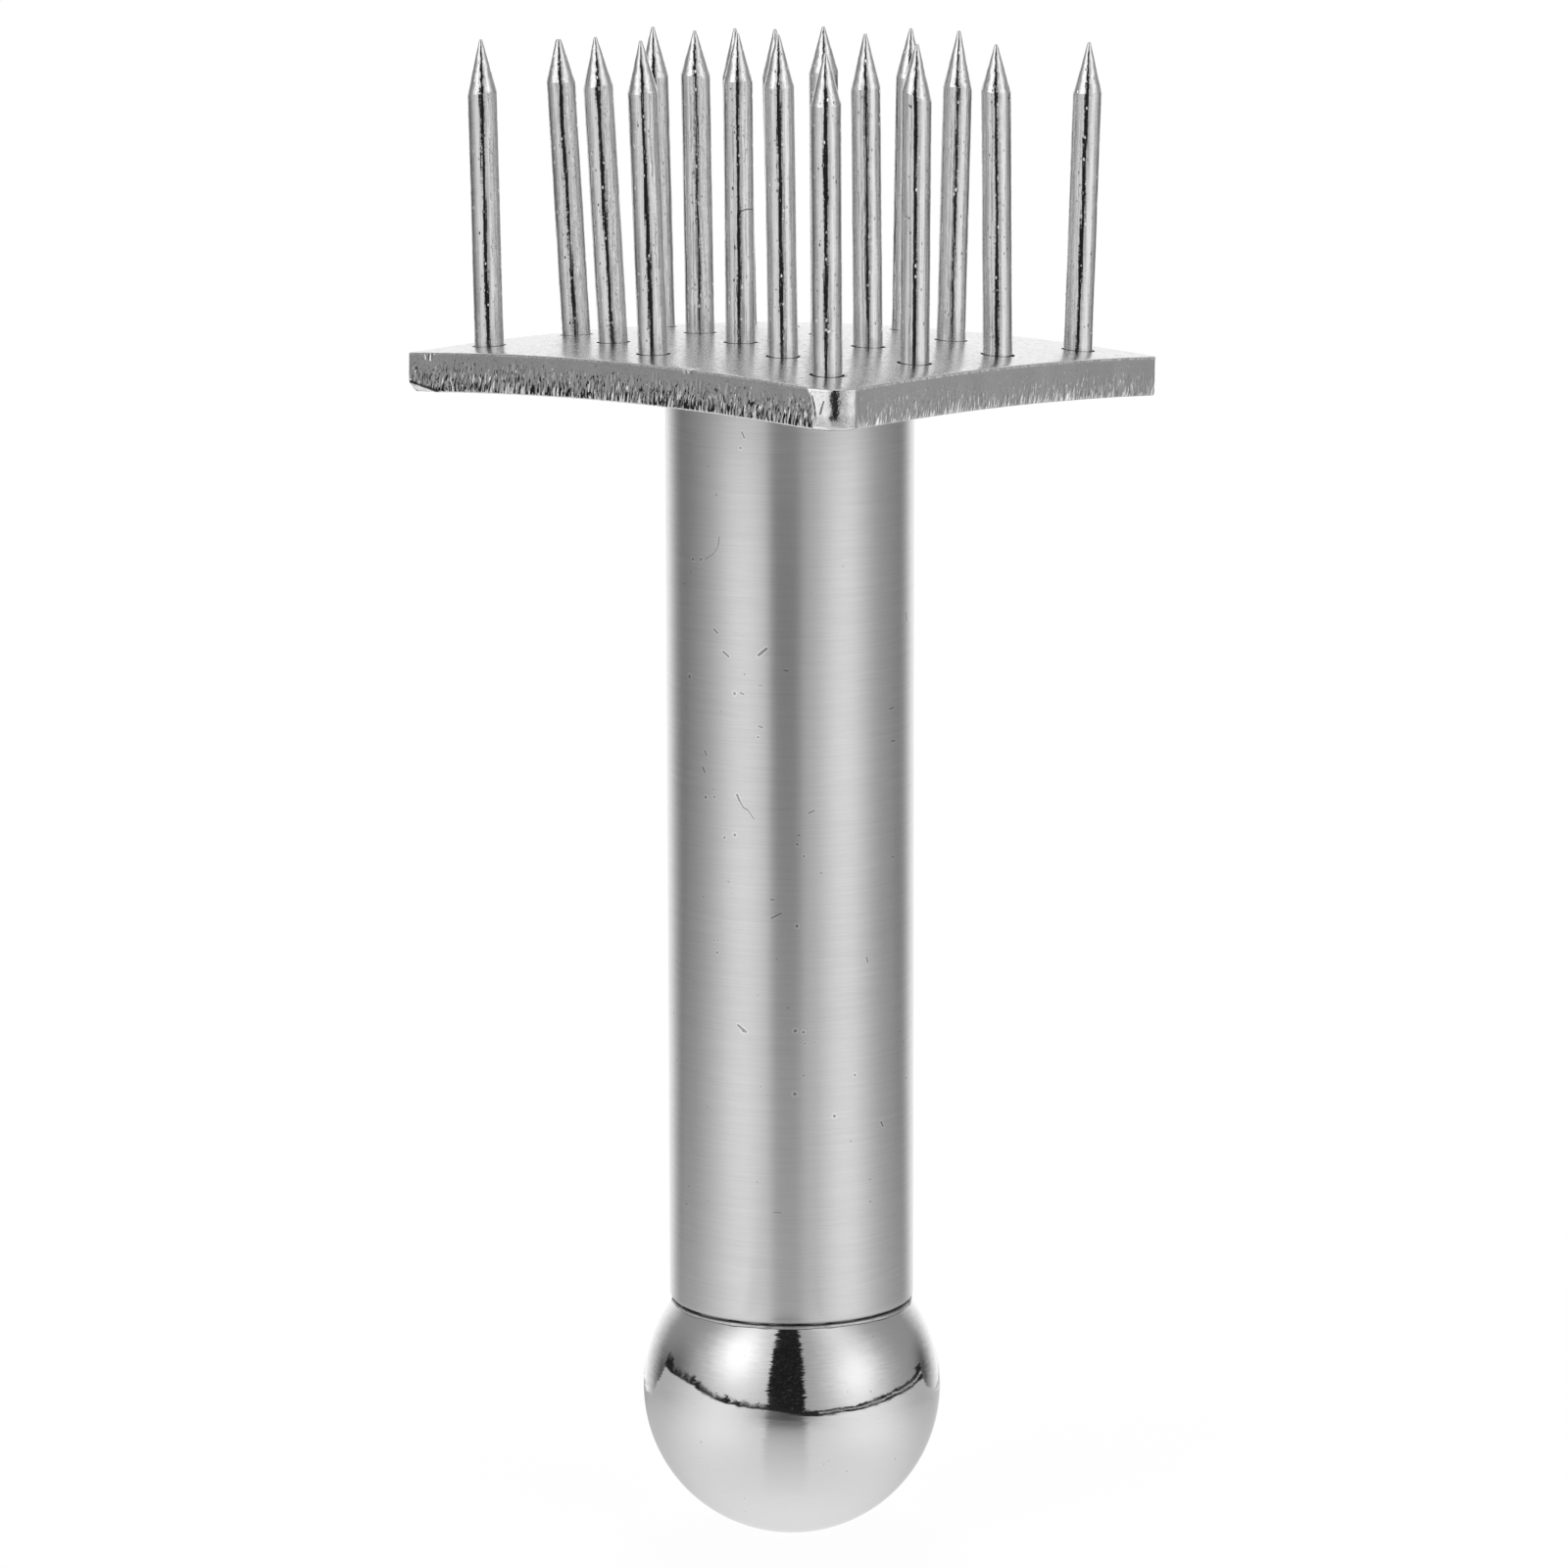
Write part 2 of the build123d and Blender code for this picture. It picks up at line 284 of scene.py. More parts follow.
def make_world():
    world = bpy.data.worlds.new("studio_tent")
    scene.world = world
    world.use_nodes = True
    world.node_tree.nodes.clear()
    n = Net(world.node_tree)
    d = n.new("ShaderNodeTexCoord").outputs["Generated"]
    az = azimuth(n, d)
    el = n.mul(n.do("ARCSINE", n.xyz(d)[2]), 180 / math.pi)
    # even walls, a bright back, and a soft panel on either side of the front
    back_light = n.mul(n.step(n.do("ABSOLUTE", az), 125.0, 165.0), 0.70)
    panel_l = n.mul(n.bell(az, -42.0, 32.0), 0.32)
    panel_r = n.mul(n.bell(az, 52.0, 28.0), 0.38)
    wall = n.add(n.add(0.25, back_light), n.add(panel_l, panel_r))
    # the walls darken a little above the side panels and even out overhead
    wall = n.mix(n.step(el, 48.0, 80.0), wall, lin(196))
    wall = n.mix(n.step(el, -75.0, -35.0), lin(205), wall)
    left = n.mul(n.mul(n.bell(az, -52.0, 25.0), n.bell(el, 32.0, 22.0)), 0.50)
    right = n.mul(n.mul(n.bell(az, 56.0, 24.0), n.bell(el, 16.0, 19.0)), 0.27)
    low = n.mul(n.mul(n.bell(az, -104.0, 16.0), n.bell(el, 4.0, 12.0)), -0.13)
    low = n.sub(low, n.mul(n.mul(n.bell(az, -122.0, 10.0), n.bell(el, -6.0, 9.0)), 0.17))
    low = n.sub(low, n.mul(n.mul(n.bell(az, 126.0, 13.0), n.bell(el, -4.0, 9.0)), 0.17))
    light = n.add(wall, n.add(n.add(left, right), low))
    # the slit, with frayed edges
    fray = n.noise(n.join(n.mul(el, 0.9), n.mul(az, 0.05), 3.0), 1.0, 3.0, 0.7)
    edge = n.mul(n.sub(fray, 0.5), 4.5)
    inside = n.mul(
        n.step(n.add(az, edge), -20.0, -18.0),
        n.step(n.sub(az, edge), 9.0, 11.0, 1.0, 0.0),
    )
    inside = n.mul(inside, n.step(el, 66.0, 84.0, 1.0, 0.0))
    inside = n.mul(inside, n.step(el, -75.0, -50.0))
    specks = n.noise(n.join(n.mul(el, 0.8), n.mul(az, 0.8), 9.0), 1.0, 2.0, 0.6)
    slit = n.add(0.010, n.mul(n.step(specks, 0.58, 0.76), 0.16))
    slit = n.mix(n.step(el, -27.0, -13.0), 0.32, slit)
    light = n.mix(inside, light, slit)
    camera = n.new("ShaderNodeLightPath").outputs["Is Camera Ray"]
    light = n.mix(camera, n.mul(light, 1 / METAL), 1.0)
    back = n.new("ShaderNodeBackground")
    n.put(back.inputs["Color"], n.grey(light))
    back.inputs["Strength"].default_value = 1.0
    out = n.new("ShaderNodeOutputWorld")
    n.put(out.inputs["Surface"], back.outputs[0])


EDGE = [
    (-180, -12.0), (-150, -16.0), (-132, -14.0), (-119, -4.5), (-115, 1.6), (-81, 2.4), (-57, -2.4),
    (-18, -4.3), (-4, -6.0), (11, -7.8), (51, -7.4), (85, -4.8), (118, -4.8), (125, -10.0),
    (140, -14.0), (180, -12.0),
]
TABLE_R = 180.0


def stage_mesh(name, verts, faces, mat):
    mesh = bpy.data.meshes.new(name)
    mesh.from_pydata((np.asarray(verts, float) * 0.001).tolist(), [], faces)
    mesh.materials.append(mat)
    o = bpy.data.objects.new(name, mesh)
    scene.collection.objects.link(o)
    return o


def glossy_only(o):
    o.visible_camera = False
    o.visible_diffuse = False
    o.visible_transmission = False
    o.visible_volume_scatter = False
    o.visible_shadow = False


def emitter(name):
    mat = bpy.data.materials.new(name)
    mat.use_nodes = True
    mat.node_tree.nodes.clear()
    n = Net(mat.node_tree)
    e = n.new("ShaderNodeEmission")
    out = n.new("ShaderNodeOutputMaterial")
    n.put(out.inputs["Surface"], e.outputs[0])
    return mat, n, e


def make_table():
    """The pale table as the metal sees it, and the dark line at its far edge."""
    a = np.radians(np.arange(-180, 180, 2.0))
    edge = np.interp(np.degrees(a), [e[0] for e in EDGE], [e[1] for e in EDGE])
    z_edge = 15.25 + TABLE_R * np.tan(np.radians(edge))
    way = np.cos(a)[:, None] * FRONT + np.sin(a)[:, None] * SIDE
    verts, rings = [], [2, 8, 20, 40, 60, 80, 100, 120, 140, 160, 180]
    for rho in rings:
        p = way * rho
        p[:, 2] = -0.6 + z_edge * (rho / TABLE_R) ** 2
        verts.append(p)
    verts = np.concatenate(verts)
    faces = ring_faces(0, len(a), len(rings)) + [tuple(range(len(a)))]
    mat, n, e = emitter("table_glow")
    p = n.vec("SCALE", n.new("ShaderNodeTexCoord").outputs["Object"], scale=1000.0)
    x = n.xyz(p)
    rho = n.vec("LENGTH", n.join(x[0], x[1], 0.0))
    az = azimuth(n, p)
    base = n.add(lin(205), n.mul(n.bell(rho, 0.0, 13.0), 0.15))
    glow = n.add(n.bell(az, -52.0, 30.0), n.bell(az, 54.0, 30.0))
    base = n.add(base, n.mul(n.mul(glow, n.step(rho, 12.0, 45.0)), 0.125))
    far = n.do("MULTIPLY", n.sub(rho, 13.0), 1 / 57.0, clamp=True)
    band = n.mul(n.step(az, -21.0, -15.0), n.step(az, 6.0, 13.0, 1.0, 0.0))
    base = n.mul(base, n.sub(1.0, n.mul(n.mul(band, far), 0.52)))
    base = n.mul(base, n.sub(1.0, n.mul(n.mul(n.bell(az, -2.0, 28.0), far), 0.28)))
    base = n.mul(base, n.sub(1.0, n.mul(n.mul(n.bell(az, -4.0, 20.0), n.step(rho, 50.0, 105.0)), 0.62)))
    sides = n.add(n.bell(az, -112.0, 34.0), n.bell(az, 112.0, 34.0))
    sides = n.add(sides, n.mul(n.bell(az, -158.0, 18.0), 0.8))
    base = n.mul(base, n.sub(1.0, n.mul(n.mul(sides, n.do("MINIMUM", n.mul(rho, 1 / 72.0), 1.0)), 0.36)))
    n.put(e.inputs["Color"], n.grey(n.mul(base, 1 / METAL)))
    glossy_only(stage_mesh("stage_table_glow", verts, faces, mat))

    # a card that lights only what is above it: the tube's dark stripe, not the ball
    a = np.arange(-27, 17.01, 2.0)
    way = np.cos(np.radians(a))[:, None] * FRONT + np.sin(np.radians(a))[:, None] * SIDE
    rows = []
    for rho_row in (14, 60, 110, 172):
        q = way * rho_row
        q[:, 2] = 25.0
        rows.append(q)
    mat, n, e = emitter("fill_glow")
    e.inputs["Color"].default_value = (0.66, 0.66, 0.66, 1)
    clear = n.new("ShaderNodeBsdfTransparent")
    one_side = n.new("ShaderNodeMixShader")
    n.put(one_side.inputs[0], n.new("ShaderNodeNewGeometry").outputs["Backfacing"])
    n.put(one_side.inputs[1], e.outputs[0])
    n.put(one_side.inputs[2], clear.outputs[0])
    out = [x for x in n.tree.nodes if x.bl_idname == "ShaderNodeOutputMaterial"][0]
    n.put(out.inputs["Surface"], one_side.outputs[0])
    glossy_only(stage_mesh("stage_fill_card", np.concatenate(rows), ring_faces(0, len(a), 4, wrap=False, flip=True), mat))

    # the line: a low dark rail with a ragged top, taller at its two ends
    a = np.arange(-116, 119.01, 0.4)
    edge = np.interp(a, [e[0] for e in EDGE], [e[1] for e in EDGE])
    left = a < -15
    tall = 3.6 + np.where(left, 0.5 + 1.3 * noise1(a * 0.8, 5) + 1.2 * noise1(a * 2.3, 8), 0.5 * noise1(a * 0.6, 6))
    tall = np.where(left & (hash01(np.arange(len(a)), 9) > 0.72), 0.9, tall)
    tall = tall + 2.6 * smooth(-np.abs(a + 111.5), -6.5, -2.0) + 2.4 * smooth(-np.abs(a - 114.0), -6.5, -2.0)
    low = edge - 0.5 + 0.35 * noise1(a * 0.8, 7)
    way = np.cos(np.radians(a))[:, None] * FRONT + np.sin(np.radians(a))[:, None] * SIDE
    rows = []
    for e_deg in (low, edge + tall):
        p = way * (TABLE_R - 2)
        p[:, 2] = 15.25 + (TABLE_R - 2) * np.tan(np.radians(e_deg))
        rows.append(p)
    mat, n, e = emitter("rail_dark")
    e.inputs["Color"].default_value = (0.02, 0.02, 0.02, 1)
    verts = np.concatenate(rows)
    faces = ring_faces(0, len(a), 2, wrap=False)
    glossy_only(stage_mesh("stage_rail", verts, faces, mat))
    # a pale lip that shows inside the dark line on the right
    rows = []
    for up in (1.35, 2.15):
        p = way * (TABLE_R - 3)
        wave = edge + up + 0.25 * noise1(a * 0.5, 15) + 0.35 * noise1(a * 0.11, 16)
        p[:, 2] = 15.25 + (TABLE_R - 3) * np.tan(np.radians(wave))
        rows.append(p[a > 20])
    mat, n, e = emitter("rail_lip")
    e.inputs["Color"].default_value = (0.5, 0.5, 0.5, 1)
    verts = np.concatenate(rows)
    faces = ring_faces(0, len(rows[0]), 2, wrap=False)
    glossy_only(stage_mesh("stage_rail_lip", verts, faces, mat))

    # the floor as the camera sees it: pale, with the faintest shadow
    mat = bpy.data.materials.new("floor_pale")
    mat.use_nodes = True
    mat.node_tree.nodes.clear()
    n = Net(mat.node_tree)
    e = n.new("ShaderNodeEmission")
    e.inputs["Color"].default_value = (1, 1, 1, 1)
    e.inputs["Strength"].default_value = 0.86
    diffuse = n.new("ShaderNodeBsdfDiffuse")
    diffuse.inputs["Color"].default_value = (0.22, 0.22, 0.22, 1)
    both = n.new("ShaderNodeAddShader")
    n.put(both.inputs[0], e.outputs[0])
    n.put(both.inputs[1], diffuse.outputs[0])
    clear = n.new("ShaderNodeBsdfTransparent")
    mixed = n.new("ShaderNodeMixShader")
    n.put(mixed.inputs[0], n.new("ShaderNodeNewGeometry").outputs["Backfacing"])
    n.put(mixed.inputs[1], both.outputs[0])
    n.put(mixed.inputs[2], clear.outputs[0])
    out = n.new("ShaderNodeOutputMaterial")
    n.put(out.inputs["Surface"], mixed.outputs[0])
    s = 4000.0
    floor = stage_mesh(
        "stage_floor", [(-s, -s, 0), (s, -s, 0), (s, s, 0), (-s, s, 0)], [(0, 1, 2, 3)], mat
    )
    floor.visible_glossy = False
    floor.visible_diffuse = False
    floor.visible_shadow = False


def make_camera():
    data = bpy.data.cameras.new("camera")
    data.sensor_fit = "HORIZONTAL"
    data.sensor_width = 36.0
    data.lens = 152.101
    data.clip_start, data.clip_end = 0.05, 20.0
    cam = bpy.data.objects.new("camera", data)
    scene.collection.objects.link(cam)
    fwd = Vector((-0.62049579, 0.76321063, -0.18026235))
    right = Vector((0.77618553, 0.63050037, -0.00230366))
    up = Vector((-0.11189731, 0.14134644, 0.98361587))
    m = Matrix((right, up, -fwd)).transposed().to_4x4()
    m.translation = Vector((0.415908, -0.512610, 0.199040))
    cam.matrix_world = m
    scene.camera = cam


make_world()
make_table()
make_camera()


# ------------------------------------------------------------------- materials
def metal(name, rough=0.1, aniso=0.0, rotation=0.0):
    mat = bpy.data.materials.new(name)
    mat.use_nodes = True
    mat.node_tree.nodes.clear()
    n = Net(mat.node_tree)
    b = n.new("ShaderNodeBsdfPrincipled")
    b.inputs["Metallic"].default_value = 1.0
    b.inputs["Roughness"].default_value = rough
    b.inputs["Anisotropic"].default_value = aniso
    b.inputs["Anisotropic Rotation"].default_value = rotation
    b.inputs["Specular Tint"].default_value = (0.86, 0.86, 0.86, 1)
    out = n.new("ShaderNodeOutputMaterial")
    n.put(out.inputs["Surface"], b.outputs[0])
    p = n.vec("SCALE", n.new("ShaderNodeTexCoord").outputs["Object"], scale=1000.0)
    return mat, n, b, p


def stretch(n, p, sx, sy, sz):
    return n.vec("MULTIPLY", p, (sx, sy, sz))


def bumped(n, height, distance, strength=1.0, normal=None):
    b = n.new("ShaderNodeBump")
    b.inputs["Strength"].default_value = strength
    b.inputs["Distance"].default_value = distance
    n.put(b.inputs["Height"], height)
    if normal is not None:
        n.put(b.inputs["Normal"], normal)
    return b.outputs[0]


def mark(n, u, v, a, b, width, soft=0.6):
    """1 on the line from a to b in the plane of u and v, 0 off it."""
    ax, ay = a
    dx, dy = b[0] - ax, b[1] - ay
    ll = dx * dx + dy * dy + 1e-9
    ru, rv = n.sub(u, ax), n.sub(v, ay)
    t = n.do("MULTIPLY_ADD", ru, dx / ll, n.mul(rv, dy / ll), clamp=True)
    du, dv = n.sub(ru, n.mul(t, dx)), n.sub(rv, n.mul(t, dy))
    d = n.do("SQRT", n.add(n.mul(du, du), n.mul(dv, dv)))
    return n.step(d, width * soft, width, 1.0, 0.0)


def mark3(n, p, a, b, width):
    """1 on the line in space from a to b, 0 off it."""
    run = [b[i] - a[i] for i in range(3)]
    ll = sum(c * c for c in run) + 1e-9
    rel = n.vec("SUBTRACT", p, a)
    t = n.do("MULTIPLY", n.vec("DOT_PRODUCT", rel, tuple(run)), 1 / ll, clamp=True)
    off = n.vec("SUBTRACT", rel, n.vec("SCALE", tuple(run), scale=t))
    return n.step(n.vec("LENGTH", off), width * 0.6, width, 1.0, 0.0)


def nearest(n, q, lines):
    """Distance from the point q of a flat map to the nearest of the lines, in
    widths of that line. Short lines are taken as dots."""
    out, at = None, q
    for i, (a, b, width) in enumerate(lines):
        if i and i % 6 == 0:
            # each run of lines waits for the one before it
            at = n.vec("ADD", q, n.vec("SCALE", (1e-7, 0.0, 0.0), scale=out))
        run = (b[0] - a[0], b[1] - a[1], 0.0)
        length = math.hypot(run[0], run[1])
        if length < 0.36:
            mid = ((a[0] + b[0]) / 2, (a[1] + b[1]) / 2, 0.0)
            d = n.mul(n.vec("LENGTH", n.vec("SUBTRACT", at, mid)), 1 / (width + 0.25 * length))
        else:
            rel = n.vec("SUBTRACT", at, (a[0], a[1], 0.0))
            t = n.vec("DOT_PRODUCT", rel, tuple(c / length ** 2 for c in run))
            t = n.do("MAXIMUM", n.do("MINIMUM", t, 1.0), 0.0)
            off = n.vec("SUBTRACT", rel, n.vec("SCALE", run, scale=t))
            d = n.mul(n.vec("LENGTH", off), 1 / width)
        out = d if out is None else n.do("MINIMUM", out, d)
    return out


def most(n, values):
    out = values[0]
    for v in values[1:]:
        out = n.do("MAXIMUM", out, v)
    return out


# along the edge and down from the top face, mm: ends and width of each mark
CRACKS = [
    ((53.10, 1.2), (52.92, 1.8), 0.11), ((52.92, 1.8), (52.78, 2.35), 0.14),
    ((3.02, 0.05), (3.02, 0.7), 0.09), ((3.40, 0.05), (3.40, 0.6), 0.09),
]
DINGS = [((3.20, 0.0), (3.22, 0.76), 0.13), ((2.50, 0.2), (2.62, 0.7), 0.065), ((3.75, 0.05), (3.78, 0.2), 0.08)]


def brushed_tube():
    mat, n, b, p = metal("mat_brushed_tube", 0.36, 0.97, 0.25)
    tangent = n.new("ShaderNodeTangent", direction_type="RADIAL", axis="Z")
    n.put(b.inputs["Tangent"], tangent.outputs[0])
    fine = n.noise(stretch(n, p, 0.22, 0.22, 11.0), 1.0, 4.0, 0.65)
    hair = n.noise(stretch(n, p, 0.55, 0.55, 26.0), 1.0, 2.0, 0.6)
    broad = n.noise(stretch(n, p, 0.10, 0.10, 2.2), 1.0, 3.0, 0.55)
    cloud = n.noise(p, 0.07, 3.0, 0.6)
    # painted shade of dents and nicks, which have no shape of their own: a few placed ones and a scatter of small ones
    x = n.xyz(p)
    u = n.mul(azimuth(n, p), 12.5 * math.pi / 180)
    v = x[2]
    placed = [
        ((-4.85, 115.45), (-4.59, 114.88), 0.09), ((-5.06, 113.88), (-4.96, 113.86), 0.1),
        ((-2.99, 112.75), (-2.94, 112.7), 0.07), ((-7.43, 104.84), (-7.6, 103.85), 0.07),
        ((-7.6, 103.85), (-8.16, 103.11), 0.05), ((-8.16, 103.11), (-9.19, 102.48), 0.05),
        ((-10.01, 102.35), (-9.73, 102.42), 0.09), ((-11.21, 102.31), (-10.9, 102.25), 0.09),
        ((-8.14, 95.54), (-7.72, 95.19), 0.1), ((-7.02, 93.38), (-6.4, 92.93), 0.11),
        ((-3.18, 93.27), (-2.38, 93.94), 0.14), ((-4.87, 95.2), (-4.84, 95.18), 0.06),
        ((-11.89, 90.37), (-11.55, 90.36), 0.12), ((-5.91, 89.29), (-5.59, 89.25), 0.08),
        ((-5.1, 89.38), (-4.73, 89.25), 0.09), ((-0.63, 91.8), (-0.24, 91.71), 0.08),
        ((14.86, 96.35), (15.06, 95.42), 0.13), ((11.49, 87.05), (12.18, 87.1), 0.09),
        ((-3.2, 86.12), (-2.8, 85.99), 0.08), ((-3.31, 85.03), (-3.21, 84.99), 0.09),
        ((-9.44, 83.13), (-9.18, 82.67), 0.1), ((-9.73, 81.41), (-9.46, 80.94), 0.12),
        ((-9.4, 78.56), (-9.27, 78.28), 0.1), ((-8.3, 78.59), (-8.05, 78.57), 0.07),
        ((-5.52, 79.06), (-5.25, 78.48), 0.12), ((-5.25, 78.48), (-4.83, 77.81), 0.08),
        ((-4.83, 77.81), (-4.36, 77.6), 0.08), ((-4.36, 77.6), (-3.69, 76.69), 0.06),
        ((-5.86, 75.0), (-5.7, 74.92), 0.11), ((-7.11, 74.54), (-6.82, 74.62), 0.07),
        ((0.6, 74.25), (0.7, 74.22), 0.11), ((1.29, 73.05), (1.38, 72.99), 0.1),
        ((1.78, 77.35), (2.38, 77.63), 0.08), ((-1.96, 66.71), (-0.98, 67.23), 0.09),
        ((-2.06, 68.6), (-1.66, 68.56), 0.08), ((0.49, 65.84), (0.73, 66.03), 0.09),
        ((-8.38, 63.95), (-8.25, 63.93), 0.08), ((-7.94, 64.0), (-7.82, 63.99), 0.07),
        ((-8.01, 62.84), (-7.82, 62.66), 0.08), ((-9.81, 68.27), (-9.67, 68.19), 0.07),
        ((8.15, 62.19), (8.31, 61.66), 0.1), ((11.83, 83.72), (12.36, 83.74), 0.1),
        ((11.93, 71.96), (12.2, 71.87), 0.09), ((-5.5, 55.58), (-4.65, 54.95), 0.12),
        ((-5.07, 55.12), (-4.75, 55.04), 0.12), ((0.27, 55.33), (0.56, 55.13), 0.09),
        ((1.15, 55.12), (1.3, 55.06), 0.1), ((1.35, 53.91), (1.45, 53.9), 0.08),
        ((2.34, 54.07), (2.4, 54.04), 0.07), ((0.26, 48.84), (0.45, 48.69), 0.12),
        ((6.62, 50.35), (6.8, 50.23), 0.09), ((-3.11, 49.47), (-3.01, 49.44), 0.07),
        ((10.13, 44.93), (10.43, 44.47), 0.12), ((15.0, 48.6), (15.3, 48.43), 0.1),
        ((4.27, 46.3), (4.59, 46.27), 0.09), ((-1.84, 36.53), (-1.05, 36.51), 0.06),
    ]
    field = nearest(n, n.join(u, v, 0.0), placed)
    nick_shade = n.step(field, 0.6, 1.0, 1.0, 0.0)
    rim_highlight = n.mul(n.step(field, 1.0, 1.3), n.step(field, 1.7, 2.2, 1.0, 0.0))
    cells = n.new("ShaderNodeTexVoronoi", feature="F1", distance="EUCLIDEAN")
    n.put(cells.inputs["Vector"], stretch(n, p, 0.42, 0.42, 0.80))
    cells.inputs["Scale"].default_value = 1.0
    near = n.step(cells.outputs["Distance"], 0.035, 0.075, 1.0, 0.0)
    rare = n.step(n.noise(p, 0.16, 1.0), 0.50, 0.60)
    nick_shade = n.do("MAXIMUM", nick_shade, n.mul(near, rare))
    height = n.add(n.add(n.mul(fine, 0.55), n.mul(hair, 0.25)), n.mul(broad, 0.35))
    n.put(b.inputs["Normal"], bumped(n, height, 0.000016, 0.55))
    tone = n.add(0.80, n.mul(n.sub(fine, 0.5), 0.20))
    tone = n.add(tone, n.mul(n.sub(broad, 0.5), 0.10))
    tone = n.add(tone, n.mul(n.sub(cloud, 0.5), 0.06))
    # painted shade in the nicks
    tone = n.mul(tone, n.sub(1.0, n.mul(nick_shade, 0.52)))
    # painted highlight: each placed nick has a bright rim thrown up round it
    tone = n.add(tone, n.mul(rim_highlight, n.mul(n.step(hair, 0.35, 0.6), 0.20)))
    n.put(b.inputs["Base Color"], n.grey(tone))
    n.put(b.inputs["Roughness"], n.add(0.33, n.mul(fine, 0.06)))
    return mat


def shaken(n, p, amount, fast, slow):
    """The face's normal, swung sideways by polishing lines that run round Z."""
    geo = n.new("ShaderNodeNewGeometry")
    tangent = n.new("ShaderNodeTangent", direction_type="RADIAL", axis="Z").outputs[0]
    lines = n.noise(stretch(n, p, slow, slow, fast), 1.0, 3.0, 0.7)
    swing = n.mul(n.sub(lines, 0.5), amount)
    return n.vec("NORMALIZE", n.vec("ADD", geo.outputs["Normal"], n.vec("SCALE", tangent, scale=swing)))


def mirror_ball():
    mat, n, b, p = metal("mat_mirror_ball", 0.055)
    normal = shaken(n, p, 0.10, 5.5, 0.5)
    wave = n.noise(p, 0.35, 2.0, 0.5)
    fine = n.noise(stretch(n, p, 0.8, 0.8, 9.0), 1.0, 3.0, 0.6)
    cells = n.new("ShaderNodeTexVoronoi", feature="F1", distance="EUCLIDEAN")
    n.put(cells.inputs["Vector"], p)
    cells.inputs["Scale"].default_value = 0.55
    near = n.step(cells.outputs["Distance"], 0.04, 0.075, 1.0, 0.0)
    pits = n.mul(near, n.step(n.noise(p, 0.25, 1.0), 0.47, 0.55))
    height = n.sub(n.add(n.mul(wave, 2.0), n.mul(fine, 0.05)), n.mul(pits, 0.5))
    n.put(b.inputs["Normal"], bumped(n, height, 0.00002, 0.5, normal))
    tone = n.sub(0.79, n.mul(pits, 0.25))
    tone = n.add(tone, n.mul(n.sub(fine, 0.5), 0.05))
    n.put(b.inputs["Base Color"], n.grey(tone))
    n.put(b.inputs["Roughness"], n.add(0.045, n.mul(n.step(wave, 0.35, 0.75), 0.05)))
    return mat


HAIRS = [
    ((-0.269, -7.80, 136.05), (-0.024, -7.607, 136.7), 0.09), ((-0.024, -7.607, 136.7), (0.299, -7.122, 136.87), 0.09),
    ((0.299, -7.122, 136.87), (0.41, -6.584, 136.85), 0.08), ((0.41, -6.584, 136.85), (0.329, -6.076, 136.75), 0.08),
    ((21.60, -21.12, 127.35), (21.83, -20.94, 127.75), 0.06),
]
FLECKS = [((21.606, -21.11, 127.65), (21.80, -20.95, 127.45), 0.13), ((21.80, -20.95, 127.45), (22.025, -20.66, 127.55), 0.10)]


def needle_steel():
    mat, n, b, p = metal("mat_needle", 0.12)
    normal = shaken(n, p, 0.22, 4.5, 0.9)
    tangent = n.new("ShaderNodeNewGeometry").outputs["Normal"]
    tangent = n.vec("CROSS_PRODUCT", (0.0, 0.0, 1.0), tangent)
    axial = n.noise(stretch(n, p, 4.4, 4.4, 0.10), 1.0, 4.0, 0.75)
    flakes = n.new("ShaderNodeTexVoronoi", feature="F1", distance="EUCLIDEAN")
    n.put(flakes.inputs["Vector"], stretch(n, p, 1.0, 1.0, 0.45))
    flakes.inputs["Scale"].default_value = 2.1
    flake = n.step(flakes.outputs["Distance"], 0.13, 0.20, 1.0, 0.0)
    flake = n.mul(flake, n.step(n.noise(p, 0.9, 1.0), 0.46, 0.54))
    # one hair-thin scratch, and one bright fleck low on the nearest needle
    hair = most(n, [mark3(n, p, q, r, w) for q, r, w in HAIRS])
    fleck = most(n, [mark3(n, p, q, r, w) for q, r, w in FLECKS])
    flake = n.do("MAXIMUM", flake, fleck)
    swing = n.add(n.mul(n.sub(axial, 0.5), 0.62), n.mul(flake, 0.42))
    normal = n.vec("NORMALIZE", n.vec("ADD", normal, n.vec("SCALE", tangent, scale=swing)))
    streak = n.noise(stretch(n, p, 5.0, 5.0, 0.25), 1.0, 3.0, 0.6)
    grain = n.noise(p, 7.0, 3.0, 0.7)
    cells = n.new("ShaderNodeTexVoronoi", feature="F1", distance="EUCLIDEAN")
    n.put(cells.inputs["Vector"], stretch(n, p, 1.0, 1.0, 0.6))
    cells.inputs["Scale"].default_value = 1.5
    near = n.step(cells.outputs["Distance"], 0.10, 0.18, 1.0, 0.0)
    pits = n.mul(near, n.step(n.noise(p, 0.4, 1.0), 0.42, 0.52))
    height = n.sub(n.add(n.mul(streak, 0.35), n.mul(grain, 0.3)), n.mul(pits, 0.8))
    n.put(b.inputs["Normal"], bumped(n, height, 0.000018, 0.7, normal))
    tone = n.add(0.84, n.mul(n.sub(streak, 0.5), 0.42))
    tone = n.sub(tone, n.mul(pits, 0.25))
    tone = n.mul(tone, n.sub(1.0, n.mul(hair, 0.7)))
    n.put(b.inputs["Base Color"], n.grey(tone))
    n.put(b.inputs["Roughness"], n.add(0.03, n.mul(grain, 0.06)))
    return mat


